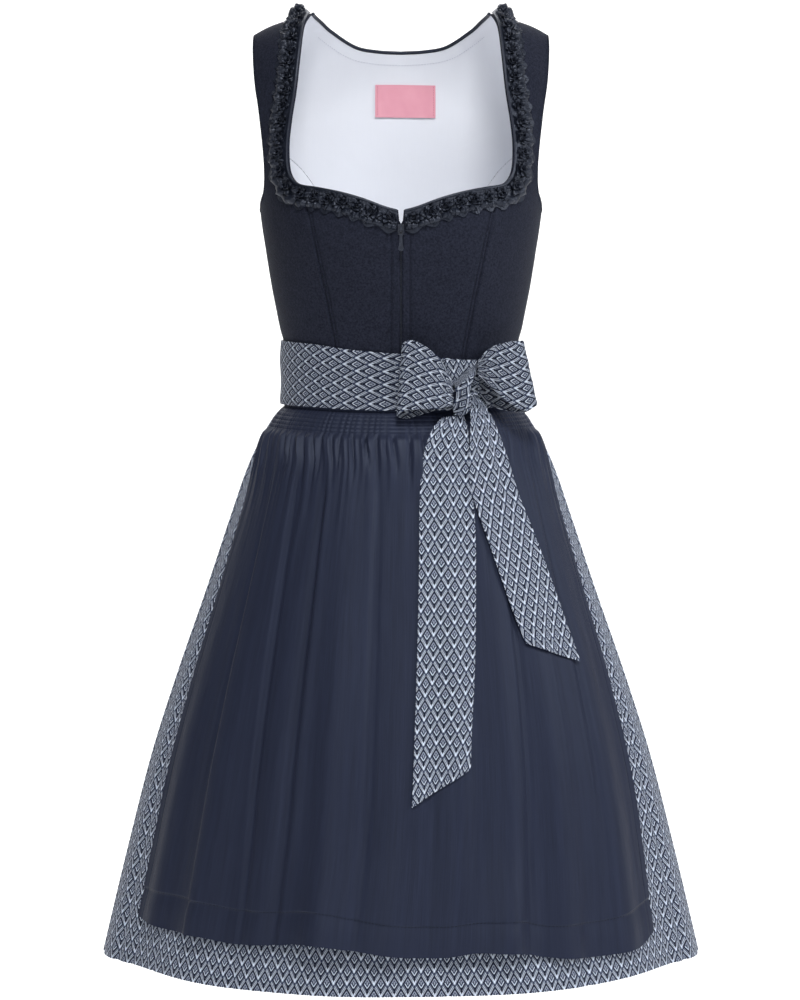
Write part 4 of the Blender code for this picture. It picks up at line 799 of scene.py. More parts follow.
def frontBodice():  # patches between the zip, princess, side, armhole and neck lines
    d = bodiceDetail
    finer = 7
    zipLine, princess = bodiceEdge(zipEdge, 8 * finer), bodiceEdge(frontPrincess, 8 * finer)
    angle, z = patch(bodiceEdge([zipEdge[0], frontPrincess[0]], 60), bodiceEdge(neckFoot, 60), zipLine, princess)
    grid = seamColumns(angle, z, d["near"] + d["zipNear"], 22)
    relief = seamRelief(grid[3], d["stitchAt"]) + seamRelief(grid[2], d["zipStitchAt"])
    centre = panelPair("bodice_front_centre", grid, relief, 0, bodiceForm["wall"], [wool, lining])
    sewn = []
    for name, edge, at in (("stitches_princess_front", 3, d["stitchAt"]), ("stitches_zip", 2, d["zipStitchAt"])):
        col = nearest(grid[edge][30], at)
        sewn += stitchRow(name, grid[0][:, col], grid[1][:, col], d["stitchOut"], navyThread, "bodice_cloth")
    for piece, side in zip(centre, (0, 1)):
        sewn[2 + side]

    finer = 6
    princess = bodiceEdge(frontPrincess, 8 * finer)
    sideSeam = np.stack([np.full(9 * finer + 1, pi / 2), np.linspace(waistZ, underarmZ, 9 * finer + 1)], -1)
    arm = joined(bodiceEdge([underarm] + armholeLow, 5 * finer), bodiceEdge(armholeHigh, 7 * finer))
    ridge = [(x, ridgeZ(x)) for x in np.linspace(shoulder["neckX"], shoulder["tipX"], 7)]
    foot = bodiceEdge([frontPrincess[0], (bodiceForm["halfWidth"][-1], waistZ)], 60)
    angle, z = patch(foot, bodiceEdge(ridge, 60), joined(princess, bodiceEdge(neckSide, 13 * finer)),
                     joined(sideSeam, arm))
    grid = seamColumns(angle, z, d["near"], 26)
    relief = seamRelief(grid[2]) + seamRelief(grid[3])
    sides = panelPair("bodice_front_side", grid, relief, 0, bodiceForm["wall"], [wool, lining])
    return arm


def backBodice(name, out, wall, material, pillow):
    # the back's centre and side pieces; pillow moves the lining in towards the wearer between its seams
    d = bodiceDetail
    isShell = out == 0
    finer = 7 if isShell else 6
    princess = bodiceEdge(backPrincess, 8 * finer, True)
    sideSeam = np.stack([np.full(len(princess), pi / 2), np.linspace(waistZ, underarmZ, len(princess))], -1)
    foot = bodiceEdge([(bodiceForm["halfWidth"][-1], waistZ), backPrincess[0]], 40, True)
    angle, z = patch(foot, bodiceEdge([underarm] + armholeLow, 40, True), sideSeam, princess)

    def relief(grid):
        if isShell:
            return seamRelief(grid[2]) + seamRelief(grid[3], d["stitchAt"])
        inward = pillow * (1 - bell(grid[2], 0, 0.003) - bell(grid[3], 0, 0.003))
        puckers = 0.0002 * wander(grid[1] * 34, 2) * wander(grid[0] * 5, 5)
        return -inward * (1 + 0.25 * wander(grid[1] * 8 + grid[0], 1)) - puckers

    grid = seamColumns(angle, z, d["near"], 16)
    sides = panelPair(name + "_side", grid, relief(grid), out, wall, [material, lining], back=True)
    ridge = [(x, ridgeZ(x)) for x in np.linspace(shoulder["tipX"], shoulder["neckX"], 7)]
    halfTop = joined(bodiceEdge(ridge, 24, True), bodiceEdge(backNeck, 40, True))
    left = joined(princess, bodiceEdge(armholeHigh, 6 * finer, True))
    right = np.stack([2 * pi - left[:, 0], left[:, 1]], -1)
    halfFoot = bodiceEdge([backPrincess[0], (0.0, waistZ)], len(halfTop) - 1, True)
    angle, z = patch(bothSides(halfFoot), bothSides(halfTop), left, right)
    grid = seamColumns(angle, z, d["near"], 70)
    face, normal = onBodice(grid[0], grid[1])
    hollow = relief(grid) if not isShell else seamRelief(grid[2], d["stitchAt"]) + seamRelief(grid[3], d["stitchAt"])
    if isShell:
        hollow = hollow + creaseOut(backCreases, face[..., 0], grid[1])
    outer = face + normal * (out + hollow)[..., None] + seamShift(True)
    centre = cloth(name + "_centre", outer, wall, metricUv(face), [material, lining], normal)
    return centre, sides, grid


armholeFront = frontBodice()
backCentre, backSides, backGrid = backBodice("bodice_back", 0.0, bodiceForm["wall"], wool, 0.0)
liningOut = -(bodiceForm["wall"] + seamGap)
liningCentre, liningSides, _ = backBodice("lining_back", liningOut, bodiceForm["liningWall"], lining,
                                                   0.0004)


backTrim = {"bindingUp": 0.0019, "bindingIn": 0.0014, "bindingBack": 0.0004, "binding": (0.0019, 0.0016),
            "stitchDown": 0.0115, "stitchHalf": 0.080, "stitchIn": 0.0005, "pipingInFront": 0.00075,
            "pipingInBack": 0.0010, "piping": (0.0010, 0.0014)}


def backTrimmings():
    # binding over the back neck, its stitch line on the lining, princess topstitch, piping round the armholes
    t = backTrim
    edge = bothSides(bodiceEdge(backNeck, 60, True))
    face, normal = onBodice(*edge.T)
    up = unit(np.cross(normal, unit(np.gradient(face, axis=0))))
    up *= np.where(up[:, 2:] < 0, -1, 1)
    middle = face + up * t["bindingUp"] - normal * t["bindingIn"] + np.array([0, t["bindingBack"], 0])
    binding = rod("neck_binding_ribbon", middle, t["binding"], normal, ribbon, 14)
    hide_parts("neck_binding")
    inside = liningOut - bodiceForm["liningWall"] - t["stitchIn"]
    line = (face - up * t["stitchDown"])[np.abs(face[:, 0]) < t["stitchHalf"]]
    angle = bodiceAngle(line[:, 0], line[:, 2], True)
    neckStitch = stitchRow("stitches_neck", angle, line[:, 2], inside, paleThread, "lining_cloth", True, False)
    row = slice(2, int(len(backGrid[0]) * 8 / 14))
    col = nearest(backGrid[2][20], bodiceDetail["stitchAt"])
    sewn = stitchRow("stitches_princess_back", backGrid[0][row, col], backGrid[1][row, col],
                     bodiceDetail["stitchOut"], navyThread, "bodice_cloth", True)
    pipings = []
    frontFace, frontNormal = onBodice(*armholeFront.T)
    backLine = armholeFront[::-1].copy()
    backLine[:, 0] = pi - backLine[:, 0]
    backFace, backNormal = onBodice(*backLine.T)
    path = np.concatenate([frontFace - frontNormal * t["pipingInFront"],
                           (backFace - backNormal * t["pipingInBack"])[1:-1]])
    lift = np.concatenate([frontNormal, backNormal[1:-1]])
    for side, ending in twoSides:
        flip = np.array([side, 1, 1])
        pipings.append(rod("armhole_piping" + ending, (path * flip)[::side], t["piping"], (lift * flip)[::side],
                           wool, 10, True))
    return binding, neckStitch, sewn, pipings


binding, neckStitch, backSewn, pipings = backTrimmings()
backSewn + pipings + [binding]
for piece in backSides + liningSides:
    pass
print("bodice and lining made")

labelSize = {"left": -0.0275, "right": 0.0370, "top": -0.0700, "bottom": -0.1045, "off": 0.0040, "wall": 0.0006,
             "tilt": 0.0008, "foldHigh": 0.00022, "foldFrom": 0.0050, "foldTo": 0.0060, "seamAt": 0.0016,
             "stitches": {"stitch": 0.0018, "pitch": 0.0026, "radius": 0.00018}}


def bareLabel():  # a rectangle of satin on the back lining, its ends folded in and sewn down
    s = labelSize
    x, z = np.meshgrid(np.linspace(s["right"], s["left"], 61), np.linspace(s["bottom"], s["top"], 37))
    ends = np.minimum(abs(x - s["left"]), abs(x - s["right"]))
    z = z - s["tilt"] * (x - s["left"]) / (s["right"] - s["left"])
    angle = bodiceAngle(x, z, True)
    face, normal = onBodice(angle, z)
    fold = s["foldHigh"] * (1 - ease(ends, s["foldFrom"], s["foldTo"])) + 0.0002 * wander(x * 20 + z * 9, 3)
    sewnIn = 0.0004 * bell(ends, s["seamAt"], 0.0006)
    outer = face + normal * (-s["off"] - fold + sewnIn)[..., None] + seamShift(True)
    made = cloth("label", outer, s["wall"], metricUv(face), [pinkSatin], normal)
    for col, ending in ((2, "_r"), (58, "_l")):
        path = outer[1:-1, col] - normal[1:-1, col] * (s["wall"] + 0.0001)
        stitches("stitches_label" + ending, path, -normal[1:-1, col], pinkThread, "label_cloth",
                             **s["stitches"])


zipSizes = {"halfWidth": 0.0110, "top": -0.2240, "bottom": -0.3550, "tapeWall": 0.0008, "tapeOut": -0.0023,
            "ridgeAt": 0.0022, "toothPitch": 0.00125, "toothOut": -0.0018, "toothAside": 0.00035,
            "tooth": (0.0011, 0.00042, 0.00036)}


def zipBehindSlit():  # woven tape, and small teeth that mesh along the centre line
    s = zipSizes
    x, z = np.meshgrid(np.linspace(-s["halfWidth"], s["halfWidth"], 25), np.linspace(s["bottom"], s["top"], 120))
    angle = bodiceAngle(x, z)
    face, normal = onBodice(angle, z)
    ridge = 0.00012 * bell(abs(x), s["ridgeAt"], 0.0005) - 0.0001
    tape = cloth("zip_tape", face + normal * (s["tapeOut"] + ridge)[..., None], s["tapeWall"] - 0.0002,
                 metricUv(face), [ribbon], normal)
    at = np.arange(s["bottom"] + 0.002, s["top"] - 0.002, s["toothPitch"])
    sideOf = np.where(np.arange(len(at)) % 2 == 0, 1.0, -1.0)
    centre, out = onBodice(bodiceAngle(sideOf * s["toothAside"], at), at)
    wide, deep, high = s["tooth"]
    # a block that narrows to its front face
    corner = np.array([[-1, -1, -1], [1, -1, -1], [1, 1, -1], [-1, 1, -1],
                       [-0.8, -0.7, 0.7], [0.8, -0.7, 0.7], [0.8, 0.7, 0.7], [-0.8, 0.7, 0.7]])
    right = np.array([1.0, 0, 0])
    up = np.cross(out, right)
    block = (corner[:, 0, None] * right * wide)[None] + corner[None, :, 1, None] * up[:, None] * high
    points = centre[:, None] + out[:, None] * s["toothOut"] + block + corner[None, :, 2, None] * out[:, None] * deep
    quads = np.array([[0, 3, 2, 1], [4, 5, 6, 7], [0, 1, 5, 4], [1, 2, 6, 5], [2, 3, 7, 6], [3, 0, 4, 7]])
    teeth = copies("zip_teeth", points, quads, np.zeros((len(at), 8, 2)), [zipMetal], 30)
    for node in ("zip_slider", "zip_pull"):
        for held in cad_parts[node].material_slots:
            held.material = zipMetal


pinkThread = threadFinish("pink thread", (0.50, 0.13, 0.18))
bareLabel()
zipBehindSlit()
print("label and zip made")

# Skirt: uneven gathers under the waist that open into the broad folds, and smaller folds between those.
skirtDetail = {"frontColumns": 220, "backColumns": 300, "gathers": 46, "gatherDepth": 0.0020,
               "gatherTop": -0.4065, "gatherFull": -0.420, "gatherEnd": -0.560, "sideGathers": 54,
               "sideGatherDepth": 0.0011, "sideGatherEnd": -0.50, "seamSunk": 0.0004}
# Extra soft folds as (degrees at the waist, z of the top, degrees at the foot, z of the foot, width, height).
skirtCreases = [(-80, -0.44, -84, -0.99, 3.2, 0.0024), (-70, -0.45, -66.5, -1.02, 2.2, -0.0026),
                (-63, -0.60, -62, -1.05, 2.6, -0.0014), (80, -0.44, 84, -0.99, 3.0, 0.0022),
                (70, -0.46, 67.0, -1.04, 2.4, -0.0028), (66, -0.66, 61.5, -1.05, 2.0, -0.0016),
                (-34, -0.80, -33, -1.06, 5.0, -0.0022), (8, -0.82, 9, -1.06, 5.0, -0.0022),
                (36, -0.80, 38, -1.06, 4.0, -0.0018), (-54, -0.80, -55, -1.06, 4.0, -0.0016)]
backCreaseRows = [(98, -0.43, 99, -0.80, 3.0, -0.0030), (117, -0.42, 119, -0.99, 3.2, -0.0034),
                  (122, -0.42, 124, -0.70, 2.2, 0.0020), (139, -0.43, 140, -1.02, 3.4, -0.0036),
                  (146, -0.42, 143, -0.72, 2.0, 0.0022), (160, -0.43, 160, -0.99, 3.0, -0.0034),
                  (166, -0.42, 167, -0.66, 1.8, 0.0018), (180, -0.42, 181, -1.02, 3.6, -0.0040),
                  (186, -0.43, 184, -0.70, 2.0, 0.0020), (200, -0.43, 199, -0.99, 3.0, -0.0034),
                  (205, -0.42, 207, -0.74, 2.1, 0.0020), (220, -0.42, 220, -1.02, 3.4, -0.0036),
                  (226, -0.43, 224, -0.68, 1.8, 0.0020), (242, -0.42, 242, -0.99, 3.2, -0.0034),
                  (262, -0.43, 263, -0.85, 3.0, -0.0028), (248, -0.42, 250, -0.72, 2.2, 0.0020)]


def gatherRidges(place, z, count, seed, end, full, top):
    # rounded ridges at uneven spacing and height, that die away at different lengths down the cloth
    phase = count * place + 0.42 * wander(place * count / 9, seed)
    tall = 0.72 + 0.28 * wander(place * count / 4, seed + 2)
    ends = end + 0.045 * wander(place * count / 3, seed + 4)
    return (0.5 + 0.5 * np.cos(2 * pi * phase)) ** 0.85 * tall * ease(z, ends, full) * ease(z, top, full)


def skirtGrid(angles, levels):  # the waist dropped at the front, the hem raised along its uneven line
    angle, level = np.meshgrid(angles, levels)
    rise = curve(skirtForm["hemTurn"], skirtForm["hemRise"], np.degrees(np.arcsin(np.abs(np.sin(angle)))))
    share = np.clip((skirtForm["hemFrom"] - level) / (skirtForm["hemFrom"] - hemZ), 0, 1)
    return angle, level - waistDrop(angle, level) + rise * share


def hemLength(angles):  # metres round the hem, from centre front, for the pattern
    fine = np.linspace(-pi / 2, 1.5 * pi, 2001)
    reach = lengths(skirtBase(fine, hemZ + 0 * fine))
    return np.interp(angles, fine, reach) - np.interp(0, fine, reach)


def skirtPieces():  # the front and the back, each pushed out by its gathers and creases
    d = skirtDetail
    tilt = seamGap / 2 / bodiceForm["halfWidth"][-1]
    levels = np.unique(np.concatenate([np.linspace(hemZ, -0.44, 66), np.linspace(-0.44, -0.404, 26),
                                       np.linspace(-0.404, -0.3853, 6), hemZ + np.array([0.0005, 0.0012, 0.002])]))
    angles = np.linspace(-pi / 2 + tilt, pi / 2 - tilt, d["frontColumns"])
    angle, z = skirtGrid(angles, levels)
    turned = np.degrees(angle)
    # ridges are kept off the cloth that lies under the apron
    free = ease(np.abs(turned), 60, 74) + ease(z, -0.928, -0.945) * ease(np.abs(turned), 75, 55)
    out = creaseOut(skirtCreases, turned, z)
    out = np.where(out > 0, out * np.clip(free, 0, 1), out) * ease(z, -0.42, -0.46)
    ridges = gatherRidges(angle / pi + 0.5, z, d["sideGathers"], 3, d["sideGatherEnd"], d["gatherFull"], d["gatherTop"])
    out = out + d["sideGatherDepth"] * ridges * ease(np.abs(turned), 76, 82)
    out = out - d["seamSunk"] * bell(np.abs(turned), 90, 0.8)
    outer = skirtPoint(angle, z, out)
    uv = columnUv(hemLength(angle), outer)
    front = cloth("skirt_front", outer, skirtForm["wall"], uv, [jacquard, jacquardReverse])

    angles = np.linspace(pi / 2 + tilt, 1.5 * pi - tilt, d["backColumns"])
    angle, z = skirtGrid(angles, levels)
    place = (angle - pi / 2) / pi
    sides = np.minimum(place, 1 - place)
    out = d["gatherDepth"] * gatherRidges(place, z, d["gathers"], 7, d["gatherEnd"], d["gatherFull"], d["gatherTop"])
    out = out + creaseOut(backCreaseRows, np.degrees(angle), z) * ease(z, -0.41, -0.44)
    out = out * ease(sides, 0, 0.012) - d["seamSunk"] * bell(sides, 0, 0.004)
    outer = skirtPoint(angle, z, out)
    back = cloth("skirt_back", outer, skirtForm["wall"], columnUv(hemLength(angle), outer),
                 [jacquard, jacquardReverse])


skirtPieces()
print("skirt made")

apronDetail = {"columns": 336, "clothWidth": 0.62, "sideHem": 0.0105, "threadPitch": 0.0040, "shirrTop": -0.4105,
               "shirrFoot": -0.4290, "gathers": 60, "gatherDepth": 0.0014, "mediumDepth": 0.0016,
               "narrowDepth": 0.0010, "seamSunk": 0.0011, "sideSunk": 0.2, "puff": 0.0042,
               "underTie": (0.548, 0.562, 0.905, 0.925), "foldsFrom": -0.43,
               "stitches": {"stitch": 0.0026, "pitch": 0.0036}, "sideStitch": 0.00015}
# Broad flat folds as (left share at the top, at the foot, right share at the top, at the foot, height).
apronPleats = [(0.135, 0.150, 0.223, 0.262, 0.0034), (0.324, 0.325, 0.451, 0.446, 0.0040),
               (0.560, 0.556, 0.735, 0.705, 0.0007), (0.800, 0.802, 0.880, 0.868, 0.0010)]
# Short tucks under the shirred strip: share across, lean to the foot, z of the foot, width, share of the puffs' height.
apronTucks = [
    (0.070, -0.012, -0.470, 0.0055, 1.0), (0.100, 0.004, -0.462, 0.0045, 0.8), (0.128, -0.006, -0.482, 0.0060, 1.0),
    (0.160, 0.010, -0.466, 0.0050, 1.0), (0.190, -0.010, -0.476, 0.0055, 1.0), (0.206, 0.012, -0.456, 0.0045, 0.7),
    (0.240, -0.004, -0.490, 0.0065, 1.0), (0.272, 0.008, -0.464, 0.0050, 0.9), (0.300, -0.006, -0.474, 0.0050, 1.0),
    (0.334, 0.006, -0.486, 0.0060, 1.0), (0.358, -0.008, -0.460, 0.0045, 0.8), (0.392, 0.002, -0.478, 0.0060, 1.0),
    (0.424, 0.010, -0.462, 0.0050, 0.9), (0.450, -0.004, -0.492, 0.0060, 1.0), (0.486, 0.004, -0.468, 0.0050, 1.0),
    (0.516, -0.006, -0.476, 0.0050, 0.9), (0.541, 0.003, -0.462, 0.0045, 0.8), (0.925, -0.010, -0.474, 0.0060, 1.0),
    (0.950, 0.006, -0.466, 0.0050, 0.9)]
# Creases as (share at the top, z of the top, share at the foot, z, width, height).
apronCreases = [(0.228, -0.43, 0.268, -1.04, 0.007, -0.0020), (0.262, -0.43, 0.252, -0.60, 0.007, 0.0009),
                (0.318, -0.43, 0.318, -1.00, 0.007, -0.0018), (0.372, -0.43, 0.366, -0.56, 0.006, 0.0008),
                (0.457, -0.43, 0.452, -1.04, 0.007, -0.0022), (0.548, -0.44, 0.548, -0.90, 0.009, -0.0012),
                (0.742, -0.43, 0.712, -1.04, 0.007, -0.0024), (0.662, -0.44, 0.668, -0.60, 0.007, 0.0008),
                (0.128, -0.44, 0.143, -0.95, 0.008, -0.0014), (0.887, -0.44, 0.876, -1.00, 0.008, -0.0016),
                (0.500, -0.43, 0.505, -0.62, 0.010, 0.0010), (0.600, -0.43, 0.610, -0.66, 0.008, -0.0012)]


def apronLevels(hemLine):  # rows from the hem to the top, closer at the hem's line and in the shirred strip
    f = apronForm
    return np.unique(np.concatenate([
        np.linspace(f["hemZ"], f["hemZ"] + 0.026, 6), hemLine + np.array([-0.002, -0.001, 0, 0.001, 0.002]),
        np.linspace(f["hemZ"] + 0.034, -0.440, 58), np.linspace(-0.436, -0.4305, 4),
        np.linspace(-0.4295, -0.4055, 49), np.linspace(-0.400, f["topZ"], 6)]))


def stripLift(place, level):  # gathers held down between the strip's thread rows, and freer ones below it
    d, full = apronDetail, apronForm["gatherFull"]
    ridges = gatherRidges(place, level, d["gathers"], 1, -0.545, full, -0.395)
    fine = gatherRidges(place, level, d["gathers"] + 5, 6, -0.475, full, -0.400)
    thread = np.abs(np.cos(pi * (level - d["shirrTop"]) / d["threadPitch"])) ** 0.6
    inStrip = (ease(level, d["shirrTop"] + 0.001, d["shirrTop"] - 0.001)
               * ease(level, d["shirrFoot"] - 0.001, d["shirrFoot"] + 0.001))
    lift = d["gatherDepth"] * (0.7 * ridges + 0.45 * fine) * (1 - 0.55 * inStrip * (1 - thread))
    lift = lift + 0.0004 * inStrip * thread - 0.0003 * inStrip
    return (lift + d["mediumDepth"] * gatherRidges(place, level, 23, 9, -0.560, -0.447, -0.430)
            + d["narrowDepth"] * gatherRidges(place, level, 41, 12, -0.510, -0.445, -0.429))


def pleatLift(place, level, lift):  # flat folds, each from its left line to its right line
    top = apronDetail["foldsFrom"]
    down = np.clip((level - top) / (apronForm["hemZ"] - top), 0, 1)
    for leftTop, leftFoot, rightTop, rightFoot, high in apronPleats:
        fromLeft = place - leftTop - (leftFoot - leftTop) * down
        fromRight = rightTop + (rightFoot - rightTop) * down - place
        grown = ease(level, -0.435, -0.52)
        lift = lift + high * ease(fromLeft, -0.004, 0.010) * ease(fromRight, -0.004, 0.010) * grown
    return lift


def puffLift(place, level):  # puffs under the strip, parted by the tucks, and none under the tie's tails
    puff = 1.0 + 0 * place
    for share, lean, footZ, width, depth in apronTucks:
        line = share + lean * ease(level, apronDetail["foldsFrom"], footZ)
        puff = puff - depth * bell(place, line, width) * ease(level, footZ - 0.012, footZ + 0.014)
    tieFrom, tieFull, tieFade, tieTo = apronDetail["underTie"]
    clearOfTie = 1 - ease(place, tieFrom, tieFull) * ease(place, tieTo, tieFade)
    puff = np.maximum(puff, 0) * (0.8 + 0.2 * wander(place * 31, 2)) * clearOfTie
    return apronDetail["puff"] * puff * ease(level, -0.4290, -0.4350) * ease(level, -0.500, -0.448)


def apronPiece():  # the skirt's surface pushed out by the apron's own folds and lifts
    d, f = apronDetail, apronForm
    left = d["sideHem"] / d["clothWidth"]
    right = 1 - left
    shares = np.unique(np.concatenate([np.linspace(0, 1, d["columns"] - 10),
                                       left + np.array([-0.003, -0.0015, 0, 0.0015]),
                                       right + np.array([-0.0015, 0, 0.0015, 0.003])]))
    hemLine = f["hemZ"] + apronHem["foldHigh"]
    levels = apronLevels(hemLine)
    place, level = np.meshgrid(shares, levels)
    leftEdge, rightEdge = apronSides(level)
    angle = leftEdge + place * (rightEdge - leftEdge)
    z = level - waistDrop(angle, level) + apronRise(place, level)
    lift = pleatLift(place, level, stripLift(place, level) + creaseOut(apronCreases, place, level))
    lift = lift + puffLift(place, level)
    # the hem is sewn up below a small step, so the line reads dark from above
    step = ease(level, hemLine + 0.0009, hemLine - 0.0004) * ease(level, hemLine - 0.014, hemLine)
    lift = lift - d["seamSunk"] * step
    for side in (left, right):
        lift = lift - d["sideSunk"] * d["seamSunk"] * bell(place, side, 0.0016) * ease(level, -0.43, -0.46)
    lift = lift + 0.0004 * wander(place * 16 + level * 5, 8) * wander(level * 17, 5) * ease(level, -0.44, -0.52)
    # hollows stop short of the skirt below
    wall, clear = f["solidWall"] - 0.0002, apronClear(z)
    deepest = np.maximum(lift, -0.0002 - (clear - f["clearWaist"]) * 0.6)
    folds = foldOut(apronFolds, place, z, f["hemZ"])
    under = skirtPoint(angle, np.minimum(z, waistZ), clear + folds + wall + np.maximum(lift, deepest - folds * 0.85))
    over = pushedOut(bodicePoint(angle, np.maximum(z, waistZ)), f["clearWaist"] + wall + np.maximum(lift, 0))
    outer = np.where((level > waistZ)[..., None], over, under)
    made = cloth("apron", outer, f["wall"], columnUv(place * d["clothWidth"], outer), [satin])
    normals = gridNormals(outer)
    row, sideRows = nearest(levels, hemLine), slice(12, 70)
    sewn = [stitches("stitches_apron_hem", outer[row, 3:-3], normals[row, 3:-3], satinThread, "apron_satin",
                     **d["stitches"])]
    for at, ending in ((left, "_l"), (right, "_r")):
        col = nearest(shares, at)
        sewn.append(stitches("stitches_apron_side" + ending, outer[sideRows, col], normals[sideRows, col],
                             satinThread, "apron_satin", radius=d["sideStitch"], **d["stitches"]))


satinThread = threadFinish("dark blue thread", (0.006, 0.008, 0.016))
apronPiece()
print("apron made")

bandDetail = {"columns": 320, "rows": 26, "crease": 0.0005, "rolled": 0.0005, "girth": 0.112}
# Soft folds along the band as (degrees, share of its height, degrees, share, width, height).
bandCreases = [(-70, 0.30, -6, 0.55, 0.07, -0.0007), (-52, 0.80, -14, 0.62, 0.05, 0.0005),
               (-84, 0.62, -40, 0.20, 0.06, 0.0005), (-20, 0.15, 24, 0.45, 0.06, -0.0006),
               (62, 0.30, 110, 0.62, 0.07, -0.0008), (84, 0.80, 140, 0.60, 0.06, -0.0007),
               (150, 0.30, 178, 0.50, 0.07, -0.0008), (-176, 0.50, -128, 0.25, 0.07, -0.0008),
               (-150, 0.75, -104, 0.58, 0.05, 0.0006), (-112, 0.35, -82, 0.60, 0.06, -0.0007)]
# The knot as level rings from its fan down to its foot, in front of the band.
knotForm = {"x": 0.0565, "clear": 0.0006, "columns": 145, "rows": 110, "rim": 0.0005, "rimPitch": 0.0011,
            "slant": (0.80, 0.60), "patternSize": 1.15,
            "z": [-0.3600, -0.3665, -0.3730, -0.3795, -0.3865, -0.3945, -0.4020, -0.4090, -0.4152],
            "middle": [0.0012, 0.0015, 0.0022, 0.0028, 0.0018, 0.0012, 0.0011, 0.0011, 0.0002],
            "halfWidth": [0.0200, 0.0190, 0.0163, 0.0122, 0.0096, 0.0089, 0.0094, 0.0086, 0.0056],
            "halfDepth": [0.0014, 0.0018, 0.0032, 0.0056, 0.0090, 0.0112, 0.0116, 0.0100, 0.0066]}
# Folds over its front as (x0, z0, x1, z1, width, height), x from the knot's middle.
knotFolds = [
    (0.0045, -0.3850, -0.0090, -0.4130, 0.0019, -0.0040), (0.0110, -0.3940, 0.0005, -0.4190, 0.0017, -0.0030),
    (0.0150, -0.3670, -0.0150, -0.3890, 0.0021, -0.0046), (0.0125, -0.3780, -0.0105, -0.3960, 0.0024, 0.0018),
    (-0.0060, -0.3890, -0.0185, -0.3580, 0.0022, -0.0013), (0.0000, -0.3840, -0.0030, -0.3560, 0.0022, 0.0010),
    (0.0060, -0.3800, 0.0095, -0.3560, 0.0020, -0.0012), (0.0120, -0.3840, 0.0200, -0.3580, 0.0018, 0.0009)]
# Pleats that fan out of the knot over each loop as (share of the width, share of the reach, height, width).
loopPleats = {"bow_loop_l": [(0.22, 0.75, 0.0010, 0.07), (0.40, 0.55, -0.0011, 0.06), (0.58, 0.85, 0.0012, 0.08),
                             (0.78, 0.60, -0.0010, 0.06)],
              "bow_loop_r": [(0.18, 0.60, -0.0009, 0.06), (0.36, 0.80, 0.0012, 0.08), (0.55, 0.60, -0.0012, 0.06),
                             (0.74, 0.85, 0.0011, 0.08)]}
loopLeft = {"root": (0.0524, -0.1087), "tip": (-0.0020, -0.1138), "halfGap": 0.0085, "lean": 0.11,
            "reach": [0.0, 0.3, 0.6, 0.85, 1.0], "top": [-0.3815, -0.3570, -0.3450, -0.3400, -0.3430],
            "foot": [-0.4050, -0.4085, -0.4090, -0.4100, -0.4140],
            "backFoot": [-0.4080, -0.4110, -0.4155, -0.4190, -0.4175]}
loopRight = {"root": (0.0771, -0.0902), "tip": (0.1306, -0.0862), "halfGap": 0.0110, "lean": 0.266,
             "reach": [0.0, 0.25, 0.5, 0.8, 1.0], "top": [-0.3612, -0.3490, -0.3440, -0.3410, -0.3405],
             "foot": [-0.3760, -0.3900, -0.4030, -0.4110, -0.4050],
             "backFoot": [-0.3960, -0.4070, -0.4115, -0.4130, -0.4060]}
# Tails as (left x, left z, right x, right z, how far in front of the apron), knot to tip. Their folds as (share
# across, share down, share across, share down, width, height).
tailLong = [(0.0400, -0.4172, 0.0606, -0.4152, 0.0045), (0.0299, -0.4298, 0.0653, -0.4301, 0.0022),
            (0.0217, -0.4553, 0.0667, -0.4557, 0.0018), (0.0184, -0.4887, 0.0694, -0.4891, 0.0017),
            (0.0174, -0.5325, 0.0716, -0.5361, 0.0017), (0.0168, -0.5810, 0.0716, -0.5817, 0.0017),
            (0.0158, -0.6262, 0.0713, -0.6252, 0.0017), (0.0145, -0.6721, 0.0701, -0.6692, 0.0017),
            (0.0128, -0.7243, 0.0670, -0.7186, 0.0017), (0.0102, -0.7933, 0.0653, -0.7573, 0.0017)]
tailShort = [(0.0585, -0.3918, 0.0618, -0.3929, 0.0190), (0.0597, -0.4009, 0.0680, -0.4010, 0.0168),
             (0.0641, -0.4161, 0.0832, -0.4154, 0.0090), (0.0659, -0.4399, 0.0954, -0.4375, 0.0044),
             (0.0652, -0.4693, 0.1045, -0.4633, 0.0038), (0.0693, -0.4978, 0.1131, -0.4931, 0.0036),
             (0.0808, -0.5332, 0.1260, -0.5271, 0.0034), (0.0921, -0.5666, 0.1384, -0.5601, 0.0030),
             (0.1061, -0.6060, 0.1532, -0.6020, 0.0026), (0.1196, -0.6399, 0.1729, -0.6608, 0.0024)]
tailLongFolds = [(0.55, -0.08, 0.42, 0.75, 0.06, 0.0022), (0.36, -0.05, 0.20, 0.45, 0.05, -0.0016),
                 (0.74, -0.05, 0.88, 0.60, 0.06, -0.0016), (0.62, 0.35, 0.66, 1.1, 0.08, 0.0012)]
tailShortFolds = [(0.45, -0.05, 0.60, 0.70, 0.07, 0.0020), (0.25, 0.0, 0.30, 0.55, 0.06, -0.0020),
                  (0.70, 0.05, 0.82, 0.80, 0.06, -0.0018)]


